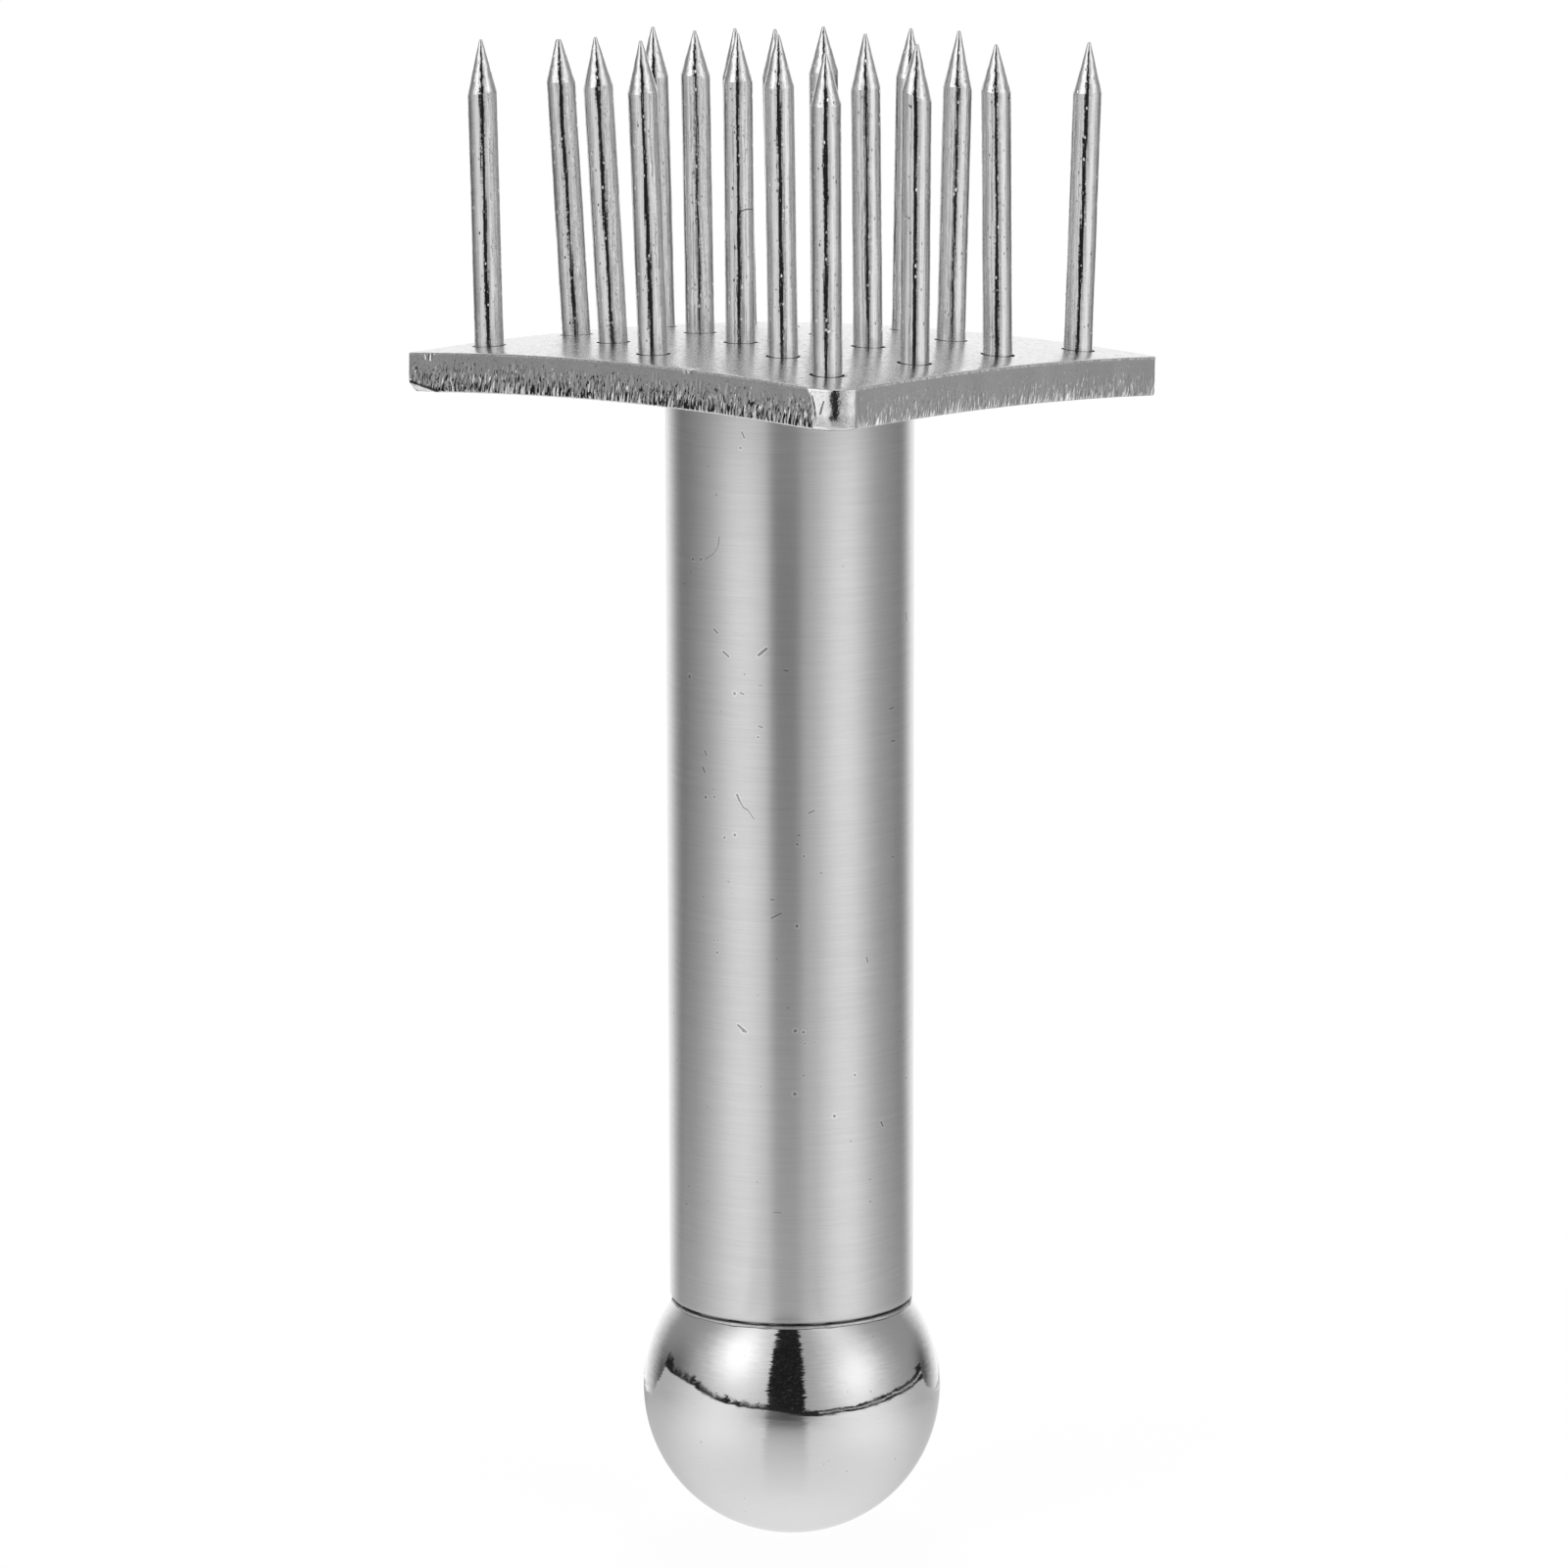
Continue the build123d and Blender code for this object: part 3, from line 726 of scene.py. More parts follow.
def plate_face():
    mat, n, b, p = metal("mat_plate_face", 0.2)
    satin = n.noise(stretch(n, p, 0.6, 4.5, 1.0), 1.0, 4.0, 0.75)
    cloud = n.noise(p, 0.12, 4.0, 0.6)
    grain = n.noise(p, 5.0, 3.0, 0.7)
    cells = n.new("ShaderNodeTexVoronoi", feature="F1", distance="EUCLIDEAN")
    n.put(cells.inputs["Vector"], p)
    cells.inputs["Scale"].default_value = 0.6
    near = n.step(cells.outputs["Distance"], 0.05, 0.09, 1.0, 0.0)
    pits = n.mul(near, n.step(n.noise(p, 0.2, 1.0), 0.46, 0.56))
    height = n.sub(n.add(n.mul(satin, 0.5), n.mul(grain, 0.25)), n.mul(pits, 1.0))
    n.put(b.inputs["Normal"], bumped(n, height, 0.000015, 0.6))
    tone = n.add(0.74, n.mul(n.sub(cloud, 0.5), 0.12))
    tone = n.add(tone, n.mul(n.sub(satin, 0.5), 0.30))
    tone = n.add(tone, n.mul(n.sub(grain, 0.5), 0.12))
    tone = n.sub(tone, n.mul(pits, 0.5))
    scuff = n.noise(n.vec("ADD", p, (31.0, 7.0, 0.0)), 1.7, 3.0, 0.65)
    tone = n.sub(tone, n.mul(n.step(scuff, 0.58, 0.66), 0.15))
    tone = n.add(tone, n.mul(n.step(scuff, 0.34, 0.42, 1.0, 0.0), 0.12))
    n.put(b.inputs["Base Color"], n.grey(tone))
    n.put(b.inputs["Roughness"], n.add(n.add(0.17, n.mul(cloud, 0.12)), n.mul(n.step(scuff, 0.45, 0.65), 0.10)))
    return mat


def plate_edge():
    """Sheared edge: thin upright marks, closer together towards the back face,
    some dark, and some torn up and bright, which is painted highlight. One corner is ground clean, with painted light
    across it."""
    mat, n, b, p = metal("mat_plate_edge", 0.3)

    def at(name):
        return n.new("ShaderNodeAttribute", attribute_name=name).outputs["Fac"]

    along, down, rise, torn = at("along"), at("down"), at("rise"), at("torn")
    clean, turn, facet_crease_shade, side_light = at("clean"), at("turn"), at("facet_crease_shade"), at("side_light")
    # the marks lean, and are dots at the top and long strokes lower down
    u = n.add(along, n.mul(down, 0.16))
    v = n.sub(n.mul(down, 2.5), n.mul(n.mul(down, down), 0.26))
    clump = n.noise(n.join(n.mul(along, 0.55), n.mul(down, 0.6), 3.1), 1.0, 2.0, 0.5)
    one = n.noise(n.join(n.mul(u, 5.4), v, 0.0), 1.0, 2.0, 0.55)
    two = n.noise(n.join(n.mul(u, 6.0), v, 7.3), 1.0, 2.0, 0.55)
    grain = n.noise(n.join(n.mul(along, 7.0), n.mul(down, 5.0), 1.7), 1.0, 3.0, 0.7)
    bias = n.add(n.mul(down, 0.062), n.mul(n.sub(clump, 0.5), 0.16))
    bias = n.add(bias, n.mul(n.step(rise, 0.15, 0.55, 1.0, 0.0), 0.07))
    right = at("right")
    dark = n.mul(n.step(n.add(one, n.mul(bias, n.mix(right, 1.0, 0.55))), 0.70, 0.73), torn)
    dark = n.mul(dark, n.mix(right, 1.0, 0.7))
    # painted highlights: the torn-up marks are raised to a near-white grey, and their normals are leaned towards the
    # front
    light = n.step(n.add(two, n.mul(bias, n.mix(right, 0.85, 0.88))), 0.755, 0.785)
    light = n.mul(light, n.mul(n.mul(n.sub(1.0, clean), n.mix(right, 0.85, 1.0)), n.step(down, 0.25, 0.9)))
    # painted highlights on the burr along the lower edge, and on the worn upper one
    wave = n.noise(n.join(n.mul(along, 2.5), 0.0, 5.0), 1.0, 3.0, 0.7)
    burr = n.mul(n.step(n.add(rise, n.mul(n.sub(wave, 0.5), 0.25)), 0.10, 0.17, 1.0, 0.0), torn)
    light = n.do("MAXIMUM", light, n.mul(burr, n.sub(1.0, facet_crease_shade)))
    top = n.mul(n.step(n.add(down, n.mul(n.sub(wave, 0.5), 0.5)), 0.22, 0.30, 1.0, 0.0), n.step(two, 0.46, 0.56))
    light = n.do("MAXIMUM", light, n.mul(top, n.mul(n.mix(right, 0.25, 0.9), n.sub(1.0, clean))))
    # painted shade in a short crack in the ground corner, and a painted highlight on a ding near the other one
    crack_shade = most(n, [mark(n, along, down, q, r, w) for q, r, w in CRACKS])
    light = n.do("MAXIMUM", light, most(n, [mark(n, along, down, q, r, w) for q, r, w in DINGS]))
    geo = n.new("ShaderNodeNewGeometry")
    normal = geo.outputs["Normal"]
    round_z = n.vec("CROSS_PRODUCT", (0.0, 0.0, 1.0), normal)
    shake = n.mul(n.mul(n.sub(grain, 0.5), clean), 0.45)
    swing = n.add(n.do("TANGENT", turn), shake)
    normal = n.vec("ADD", normal, n.vec("SCALE", round_z, scale=n.mul(swing, clean)))
    tip = n.mul(clean, n.step(n.add(down, n.mul(n.sub(grain, 0.5), 1.2)), 2.3, 3.3, 0.12, -0.25))
    normal = n.vec("ADD", normal, n.join(0.0, 0.0, tip))
    lift = tuple(float(c) for c in FRONT * 0.35 + np.array([0, 0, 0.30]))
    normal = n.vec("ADD", normal, n.vec("SCALE", lift, scale=light))
    normal = n.vec("NORMALIZE", normal)
    height = n.add(n.mul(n.mul(one, -0.5), torn), n.mul(grain, 0.35))
    n.put(b.inputs["Normal"], bumped(n, height, 0.00003, 0.45, normal))
    # the base grey starts from each face's painted light and shade
    tone = n.add(side_light, n.mul(n.sub(grain, 0.5), 0.30))
    # the marks, burr, worn top and dings take the painted highlight grey
    tone = n.mix(light, tone, 0.95)
    # painted light across the ground corner
    tone = n.mix(clean, tone, n.add(at("corner_light"), n.mul(n.sub(grain, 0.5), 0.35)))
    tone = n.mul(tone, n.sub(1.0, n.mul(dark, n.mix(light, 0.95, 0.0))))
    # painted shade: the thin dark line under the upper arris of the left face
    arris_shade = n.step(n.add(down, n.mul(n.sub(wave, 0.5), 0.12)), 0.06, 0.13, 1.0, 0.0)
    arris_shade = n.mul(n.mul(arris_shade, n.sub(1.0, right)), n.mul(n.sub(1.0, clean), n.step(one, 0.40, 0.50)))
    tone = n.mul(tone, n.sub(1.0, n.mul(arris_shade, 0.55)))
    # painted shade along the facet's crease
    tone = n.mul(tone, n.sub(1.0, n.mul(facet_crease_shade, 0.85)))
    # painted shade in the cracks
    tone = n.mul(tone, n.sub(1.0, n.mul(crack_shade, 0.75)))
    tone = n.do("MINIMUM", n.do("MAXIMUM", tone, 0.03), 1.0)
    n.put(b.inputs["Base Color"], n.grey(tone))
    n.put(b.inputs["Roughness"], n.mix(clean, n.add(0.22, n.mul(grain, 0.14)), n.add(0.10, n.mul(grain, 0.10))))
    return mat


def weld_metal():
    mat, n, b, p = metal("mat_weld", 0.3)
    grain = n.noise(p, 3.0, 4.0, 0.7)
    cloud = n.noise(p, 0.5, 3.0, 0.6)
    n.put(b.inputs["Normal"], bumped(n, grain, 0.00008, 0.6))
    tone = n.add(0.52, n.mul(n.sub(grain, 0.5), 0.30))
    tone = n.add(tone, n.mul(n.sub(cloud, 0.5), 0.20))
    # painted shade in the bead's creases and painted highlight on its crest, from the bead's crease attribute
    crease = n.new("ShaderNodeAttribute", attribute_name="crease").outputs["Fac"]
    tone = n.mul(tone, n.sub(1.0, n.mul(crease, 0.85)))
    n.put(b.inputs["Base Color"], n.grey(tone))
    n.put(b.inputs["Roughness"], n.add(0.22, n.mul(cloud, 0.2)))
    return mat


def painted_hole_shade():
    """Painted shade: the walls of the holes, which polish and light don't reach, are painted near black."""
    mat, n, b, p = metal("mat_hole_wall", 0.5)
    grain = n.noise(p, 6.0, 3.0, 0.7)
    n.put(b.inputs["Normal"], bumped(n, grain, 0.00003, 0.6))
    n.put(b.inputs["Base Color"], n.grey(n.mul(grain, 0.16)))
    n.put(b.inputs["Roughness"], n.add(0.45, n.mul(grain, 0.2)))
    return mat


M_HOLE_SHADE = painted_hole_shade()
M_TUBE, M_BALL, M_NEEDLE = brushed_tube(), mirror_ball(), needle_steel()
M_FACE, M_EDGE, M_WELD = plate_face(), plate_edge(), weld_metal()

# ----------------------------------------------------------------- plate frame
cx, sx = math.cos(TILT_X), math.sin(TILT_X)
cy, sy = math.cos(TILT_Y), math.sin(TILT_Y)
PLATE_M = np.array([[1, 0, 0], [0, cx, -sx], [0, sx, cx]]) @ np.array(
    [[cy, 0, sy], [0, 1, 0], [-sy, 0, cy]]
)


def to_world(p):
    return np.asarray(p) @ PLATE_M.T + PLATE_AT


def to_plate(p):
    return (np.asarray(p) - PLATE_AT) @ PLATE_M


def dome(u, v):
    return -u * u / (2 * DOME_X) - v * v / (2 * DOME_Y)


CX, CY = -PLATE_X / 2 - PLATE_SKEW_LEFT, -PLATE_Y / 2
REST = PLATE_T - FACET_DROP


def back(u, v):
    """Height of the back face, with the facet ground under one corner."""
    low = dome(u, v) - PLATE_T
    facet = dome(CX, CY) - FACET_DROP - REST * ((u - CX) / FACET_X + (v - CY) / FACET_Y)
    return np.maximum(low, facet)


def axis_of(name):
    """Base and direction of a needle in the plate's frame, and its length."""
    bx, by, tx, ty, tz = NEEDLES[name][:5]
    u, v = bx - PLATE_AT[0], by - PLATE_AT[1]
    bz = PLATE_AT[2] + dome(u, v) - u * math.tan(TILT_Y) + v * math.tan(TILT_X)
    base, tip = np.array([bx, by, bz]), np.array([tx, ty, tz])
    way = tip - base
    length = float(np.linalg.norm(way))
    return base, way / length, length


def cross_axes(d):
    e1 = np.cross(d, [0.0, 1.0, 0.0])
    e1 /= np.linalg.norm(e1)
    return e1, np.cross(d, e1)


# ------------------------------------------------------------------- the plate
def outline():
    """Points round the plate's edge, counterclockwise from above: place,
    outward direction, distance along, and which side or corner it is."""
    hx, hy = PLATE_X / 2, PLATE_Y / 2
    keys = [(-1, -1), (1, -1), (1, 1), (-1, 1)]
    sharp = [np.array([kx * hx, ky * hy]) for kx, ky in keys]
    sharp[0] = sharp[0] - np.array([PLATE_SKEW_LEFT, 0.0])
    sharp[1] = sharp[1] + np.array([PLATE_SKEW, 0.0])
    # each corner: where its round starts and ends, its centre, its start angle
    rounds = []
    for k, key in enumerate(keys):
        r = CORNERS[key]
        p, before, after = sharp[k], sharp[k - 1], sharp[(k + 1) % 4]
        d0 = (p - before) / np.linalg.norm(p - before)
        d1 = (after - p) / np.linalg.norm(after - p)
        turn = math.atan2(d0[0] * d1[1] - d0[1] * d1[0], float(d0 @ d1))
        run = r * math.tan(turn / 2)
        w0 = np.array([d0[1], -d0[0]])
        rounds.append((r, p - d0 * run, p + d1 * run, p - d0 * run - w0 * r, math.atan2(w0[1], w0[0]), turn))
    pts, outs, tags = [], [], []
    for k in range(4):
        r, _, end, c, a0, turn = rounds[k]
        count = max(14, int(r * turn / 0.085))
        for i in range(count):
            a = a0 + (i + 0.5) / count * turn
            w = np.array([math.cos(a), math.sin(a)])
            pts.append(c + w * r)
            outs.append(w)
            tags.append(10 + k)
        a = a0 + turn
        w = np.array([math.cos(a), math.sin(a)])
        p0, p1 = end, rounds[(k + 1) % 4][1]
        count = int(np.linalg.norm(p1 - p0) / 0.085)
        for i in range(count + 1):
            pts.append(p0 + (p1 - p0) * i / count)
            outs.append(w)
            tags.append(k)
    pts, outs = np.array(pts), np.array(outs)
    s = np.concatenate([[0], np.cumsum(np.linalg.norm(np.diff(pts, axis=0), axis=1))])
    return pts, outs, s, np.array(tags)


def in_polygon(q, poly):
    x, y = q[:, 0][:, None], q[:, 1][:, None]
    a, b = poly, np.roll(poly, -1, axis=0)
    hit = (a[:, 1] > y) != (b[:, 1] > y)
    with np.errstate(divide="ignore", invalid="ignore"):
        xc = a[:, 0] + (y - a[:, 1]) * (b[:, 0] - a[:, 0]) / (b[:, 1] - a[:, 1])
    return (np.sum(hit & (x < xc), axis=1) % 2) == 1


def well_inside(points, border, gap):
    """Which points are inside the border, and at least a gap from it."""
    ok = in_polygon(points, border)
    for i in range(0, len(border), 200):
        part = border[i:i + 200]
        ok &= np.linalg.norm(points[:, None] - part[None], axis=2).min(1) > gap
    return ok


def fill(border, rings, extra, lines=()):
    """Triangles between a border and round holes. Returns the triangles,
    which index border, rings, extra."""
    pts = [tuple(p) for p in border]
    edges = [(i, (i + 1) % len(border)) for i in range(len(border))]
    for ring in rings:
        k = len(pts)
        pts += [tuple(p) for p in ring]
        edges += [(k + i, k + (i + 1) % len(ring)) for i in range(len(ring))]
    k = len(pts)
    pts += [tuple(p) for p in extra]
    edges += [(k + i, k + j) for i, j in lines]
    got = geometry.delaunay_2d_cdt([Vector(p) for p in pts], edges, [], 0, 1e-7)
    out_of = [o[0] if o else -1 for o in got[3]]
    tris = np.array([[out_of[i] for i in f] for f in got[2]])
    tris = tris[(tris >= 0).all(1)]
    pts = np.array(pts)
    owner = np.concatenate(
        [np.full(len(border), -1)]
        + [np.full(len(r), i) for i, r in enumerate(rings)]
        + [np.full(len(extra), -2)]
    )
    o = owner[tris]
    in_hole = (o[:, 0] >= 0) & (o[:, 0] == o[:, 1]) & (o[:, 1] == o[:, 2])
    tris = tris[~in_hole]
    o = owner[tris]
    rim = (o == -1).any(1)
    keep = np.ones(len(tris), bool)
    keep[rim] = in_polygon(pts[tris[rim]].mean(1), np.asarray(border))
    tris = tris[keep]
    a, b, c = pts[tris[:, 0]], pts[tris[:, 1]], pts[tris[:, 2]]
    area = (b[:, 0] - a[:, 0]) * (c[:, 1] - a[:, 1]) - (b[:, 1] - a[:, 1]) * (c[:, 0] - a[:, 0])
    tris[area < 0] = tris[area < 0][:, ::-1]
    return tris


def make_plate():
    pts, outs, s, tags = outline()
    m = len(pts)
    total = s[-1] + 0.085
    corner = np.array([PLATE_X / 2 + PLATE_SKEW, -PLATE_Y / 2])
    near_front = np.linalg.norm(pts - corner, axis=1)
    # how rough each column is: the ground corner is clean, the sides are sheared
    side_gain = np.select(
        [tags == 0, tags == 1, tags == 2, tags == 3, tags >= 10], [1.0, 0.45, 0.8, 0.8, 0.8]
    )
    arc = np.where(tags == 11)[0]
    before = np.arange(m) < arc[len(arc) // 2]
    left_side = before & ((tags == 0) | (tags == 10) | (tags == 11))
    # which way the ground corner really faces, against the plain round: it was
    # ground by hand in flats. Measured across the view, from its right end
    across = (pts - pts[arc[-1]]) @ SIDE[:2]
    real = np.degrees(np.arctan2(outs @ SIDE[:2], outs @ FRONT[:2]))
    wanted = np.interp(across, [-4.3, -2.5, -2.3, -1.5, -0.4, 0.7], [-33, -13, -9, 4.5, 22, 51])
    turn_col = np.where((tags == 11) | ((tags == 0) & (near_front < 6)), np.radians(wanted - real), 0.0)
    turn_col = np.where((tags == 1) & (across < 0.7), np.radians(wanted - real), turn_col)
    # painted light and shade: each face of the edge gets its own base grey for how the light falls on it, darker on the
    # left face, lighter on the right face and on the left corner's round
    side_light_col = np.select([tags == 0, tags == 1, tags == 11, tags == 10], [0.52, 0.80, 0.66, 0.80], 0.62)
    # painted light: across the ground corner's curve its base grey runs from light on its left to darker on its right
    corner_light_col = np.interp(across, [-4.0, 0.0], [0.94, 0.70])

    rt, rb = 0.20, np.full(m, 0.13)
    rt_col = rt * (1 + 0.25 * noise1(s / 2.1, 41))
    rows = []
    for a in np.radians([0, 18, 36, 54, 72, 90]):
        rows.append(("t", a))
    for t in np.linspace(0, 1, 30)[1:-1]:
        rows.append(("s", t))
    for a in np.radians([90, 60, 30, 0]):
        rows.append(("b", a))
    top_w = dome(pts[:, 0], pts[:, 1])

    lo = noise1(s / 6.5, 11) * 0.05 + noise1(s / 2.2, 12) * 0.02
    start = 1.75 + 0.75 * noise1(s / 0.9, 13) + 0.9 * noise1(s / 0.23, 14)
    start = np.where(tags == 1, start + 0.45, start)
    rb = rb + 0.20 * (1 - smooth(near_front, 2.0, 5.5))
    deep = top_w - back(pts[:, 0] - outs[:, 0] * rb, pts[:, 1] - outs[:, 1] * rb)

    verts, facet_crease_shade, torn = [], [], []
    down, rise, cleaned = [], [], []
    for kind, t in rows:
        if kind == "t":
            inset, h = rt_col * (1 - math.sin(t)), rt_col * (1 - math.cos(t))
        elif kind == "s":
            h = rt_col + (deep - rb - rt_col) * t
            inset = np.zeros(m)
        else:
            inset, h = rb * (1 - math.sin(t)), deep - rb * (1 - math.cos(t))
        frac = h / PLATE_T
        # the ground corner is clean; on the left its limit is a bowed line
        bow = np.interp(frac, [0, 0.21, 0.55, 0.73, 0.95, 1.0], [3.45, 2.87, 2.45, 2.36, 2.75, 3.13])
        bow = bow + 0.05 * noise1(h / 0.35, 31)
        clean = np.where(
            left_side, 1 - smooth(near_front, bow - 0.07, bow + 0.07), 1 - smooth(near_front, 2.75, 4.0)
        )
        slant = s + 0.22 * h * (1 + 0.5 * noise1(s / 9.0, 19))
        ridge = (
            0.62 * noise2(slant / 0.19, h / 0.9, 21)
            + 0.42 * noise2(slant / 0.34, h / 1.6, 22)
            + 0.15 * noise2(slant / 1.2, h / 2.6, 23)
        )
        amount = smooth(h, start, start + 0.5) * side_gain * (1 - clean)
        depth = amount * (0.030 + 0.05 * smooth(frac, 0.45, 1.0)) * (0.9 + ridge)
        # the ground corner stands a little behind the sheared face on its left
        depth = depth + 0.10 * clean * left_side * smooth(near_front, 1.3, 2.2)
        # the torn lower edge
        tear = smooth(frac, 0.86, 1.0) * side_gain * (1 - clean)
        depth = depth + tear * (0.05 + 0.07 * np.abs(noise1(s / 0.37, 25)) + 0.05 * noise1(s / 1.3, 26))
        rub = (1 - amount) * 0.006 * noise2(s / 1.1, h / 0.12, 27) * (1 - clean)
        d = np.clip(depth + rub, 0, 0.3) + np.clip(lo + 0.05, 0, 0.2) * smooth(frac, 0.0, 0.12) * (1 - clean)
        ground = np.clip(0.02 * noise2(s / 0.6, h / 0.7, 28) + 0.02, 0, 0.05) * smooth(frac, 0.0, 0.1)
        d = np.where(tags == 11, d * (1 - clean) + (ground + depth) * clean, d)
        if kind == "t" and t == 0:
            d = np.zeros(m)
        p = pts - outs * (inset + d)[:, None]
        w = top_w - h
        verts.append(np.column_stack([p, w]))
        # painted shade: a dark line along the crease where the facet under the left corner was ground
        cut = (1 - smooth(deep - h, 0.17, 0.32)) * smooth(PLATE_T - deep, 0.02, 0.10) * ((tags == 0) | (tags == 10))
        facet_crease_shade.append(cut * (kind == "s" or t > 0.1))
        torn.append(side_gain * (1 - clean))
        down.append(np.broadcast_to(h, m))
        rise.append(np.broadcast_to(deep - h, m))
        cleaned.append(clean)
    n_rows = len(rows)
    border_top = verts[0][:, :2]
    border_low = verts[-1][:, :2].copy()
    verts[-1][:, 2] = back(border_low[:, 0], border_low[:, 1])

    # dings in the top edge and the left corner's side
    def ding(at, radius, depth):
        for block in verts[:14]:
            r = np.linalg.norm(block - np.array(at), axis=1)
            k = np.clip(1 - r / radius, 0, 1) ** 1.5
            block[:, 0] -= outs[:, 0] * k * depth
            block[:, 1] -= outs[:, 1] * k * depth
            block[:, 2] -= k * depth * 0.6

    ding((9.55, -26.5, dome(9.55, -26.5)), 0.5, 0.22)
    ding((9.0, -26.5, dome(9.0, -26.5) - 0.2), 0.35, 0.12)
    ding((-23.97, -26.5, dome(-24.0, -26.5) - 0.15), 0.24, 0.20)
    ding((-23.96, -26.5, dome(-24.0, -26.5) - 0.45), 0.24, 0.14)
    ding((-24.6, -26.5, dome(-24.6, -26.5) - 0.4), 0.30, 0.08)
    ding((26.7, 14.0, dome(26.7, 14.0) - 0.1), 0.4, 0.10)

    # hole rings, top and bottom
    seg = 48
    ang = np.arange(seg) * 2 * math.pi / seg
    hole_rows = {}
    for name in NEEDLES:
        base, d, _ = axis_of(name)
        b, w = to_plate(base), d @ PLATE_M
        e1, e2 = cross_axes(w)
        circle = np.cos(ang)[:, None] * e1 + np.sin(ang)[:, None] * e2

        def ring(r, at=None, surface=None, circle=circle, b=b, w=w):
            p = b + circle * r
            if surface is None:
                return p + w * at
            for _ in range(3):
                p = p + w * ((surface(p[:, 0], p[:, 1]) - p[:, 2]) / w[2])[:, None]
            return p

        wob = 1 + 0.012 * noise1(ang * 3, sum(map(ord, name)), 19)
        top0 = b + circle * (1.71 * wob)[:, None]
        for _ in range(3):
            top0 = top0 + w * ((dome(top0[:, 0], top0[:, 1]) - top0[:, 2]) / w[2])[:, None]
        heel = -(PLATE_T - PLUG_DEPTH)
        flare = (PLUG_R - HOLE_R) / PLUG_DEPTH
        out_r = HOLE_R + 0.01 + flare * (PLUG_DEPTH + 0.02)
        hole_rows[name] = [
            top0, ring(1.685, at=-0.06), ring(1.66, at=-0.2), ring(1.62, at=-0.7), ring(1.53, at=-0.95),
            ring(1.53, at=heel + 0.05), ring(1.53, at=heel), ring(out_r, surface=back),
        ]

    names = list(NEEDLES)
    step = 1.15
    gx, gy = np.meshgrid(np.arange(-26.2, 26.3, step), np.arange(-25.9, 26.0, step))
    jit = hash01(np.arange(gx.size), 77).reshape(gx.shape) - 0.5
    grid = np.column_stack([(gx + 0.2 * jit).ravel(), (gy - 0.2 * jit).ravel()])
    lim = np.maximum(np.abs(grid[:, 0]) - (PLATE_X / 2 - 0.75), np.abs(grid[:, 1]) - (PLATE_Y / 2 - 0.85))
    grid = grid[lim < 0]
    grid = grid[~((grid[:, 0] > PLATE_X / 2 - 2.2) & (grid[:, 1] < -PLATE_Y / 2 + 2.2))]

    def clear_of(points, rings, gap):
        ok = np.ones(len(points), bool)
        for r in rings:
            c = r.mean(0)
            rad = np.linalg.norm(r - c, axis=1).max()
            ok &= np.linalg.norm(points - c, axis=1) > rad + gap
        return points[ok]

    # a second, denser ring round each hole keeps the face smooth up to the rim
    def halo(rings, factor):
        out = []
        for r in rings:
            c = r.mean(0)
            out.append(c + (r[::2] - c) * factor)
        return np.concatenate(out)

    rings_top = [hole_rows[k][0][:, :2] for k in names]
    rings_low = [hole_rows[k][-1][:, :2] for k in names]
    extra_top = np.concatenate([clear_of(grid, rings_top, 0.55), halo(rings_top, 1.18)])
    t = np.linspace(0.05, 0.95, 46)[:, None]
    crease = np.array([CX + FACET_X, CY]) * (1 - t) + np.array([CX, CY + FACET_Y]) * t
    crease = crease[well_inside(crease, border_low, 0.10)]
    line_n = len(crease)
    low_grid = clear_of(grid, rings_low, 0.5)
    low_grid = low_grid[well_inside(low_grid, border_low, 0.2)]
    side = (low_grid[:, 0] - CX) / FACET_X + (low_grid[:, 1] - CY) / FACET_Y
    low_grid = low_grid[side > 1.35]
    extra_low = np.concatenate([crease, low_grid, halo(rings_low, 1.14)])
    lines = [(i, i + 1) for i in range(line_n - 1)]

    all_v = np.concatenate(verts)
    per_point = {
        "facet_crease_shade": np.concatenate(facet_crease_shade), "torn": np.concatenate(torn), "down": np.concatenate(down),
        "rise": np.concatenate(rise), "clean": np.concatenate(cleaned), "along": np.tile(s, n_rows),
        "turn": np.tile(turn_col, n_rows), "side_light": np.tile(side_light_col, n_rows),
        "corner_light": np.tile(corner_light_col, n_rows), "right": np.tile((tags == 1) * 1.0, n_rows),
    }
    faces = ring_faces(0, m, n_rows, flip=True)
    mats = [1] * len(faces)
    # the rounding of the top edge is polished with the face
    for r in range(3):
        mats[r * m:(r + 1) * m] = [0] * m

    at = len(all_v)
    hole_at = {}
    blocks = [all_v]
    for k in names:
        hole_at[k] = at
        block = np.concatenate(hole_rows[k])
        blocks.append(block)
        faces += ring_faces(at, seg, len(hole_rows[k]), flip=False)
        mats += [2] * (seg * (len(hole_rows[k]) - 1))
        at += len(block)
    top_at = at
    blocks.append(np.column_stack([extra_top, dome(extra_top[:, 0], extra_top[:, 1])]))
    at += len(extra_top)
    low_at = at
    blocks.append(np.column_stack([extra_low, back(extra_low[:, 0], extra_low[:, 1])]))

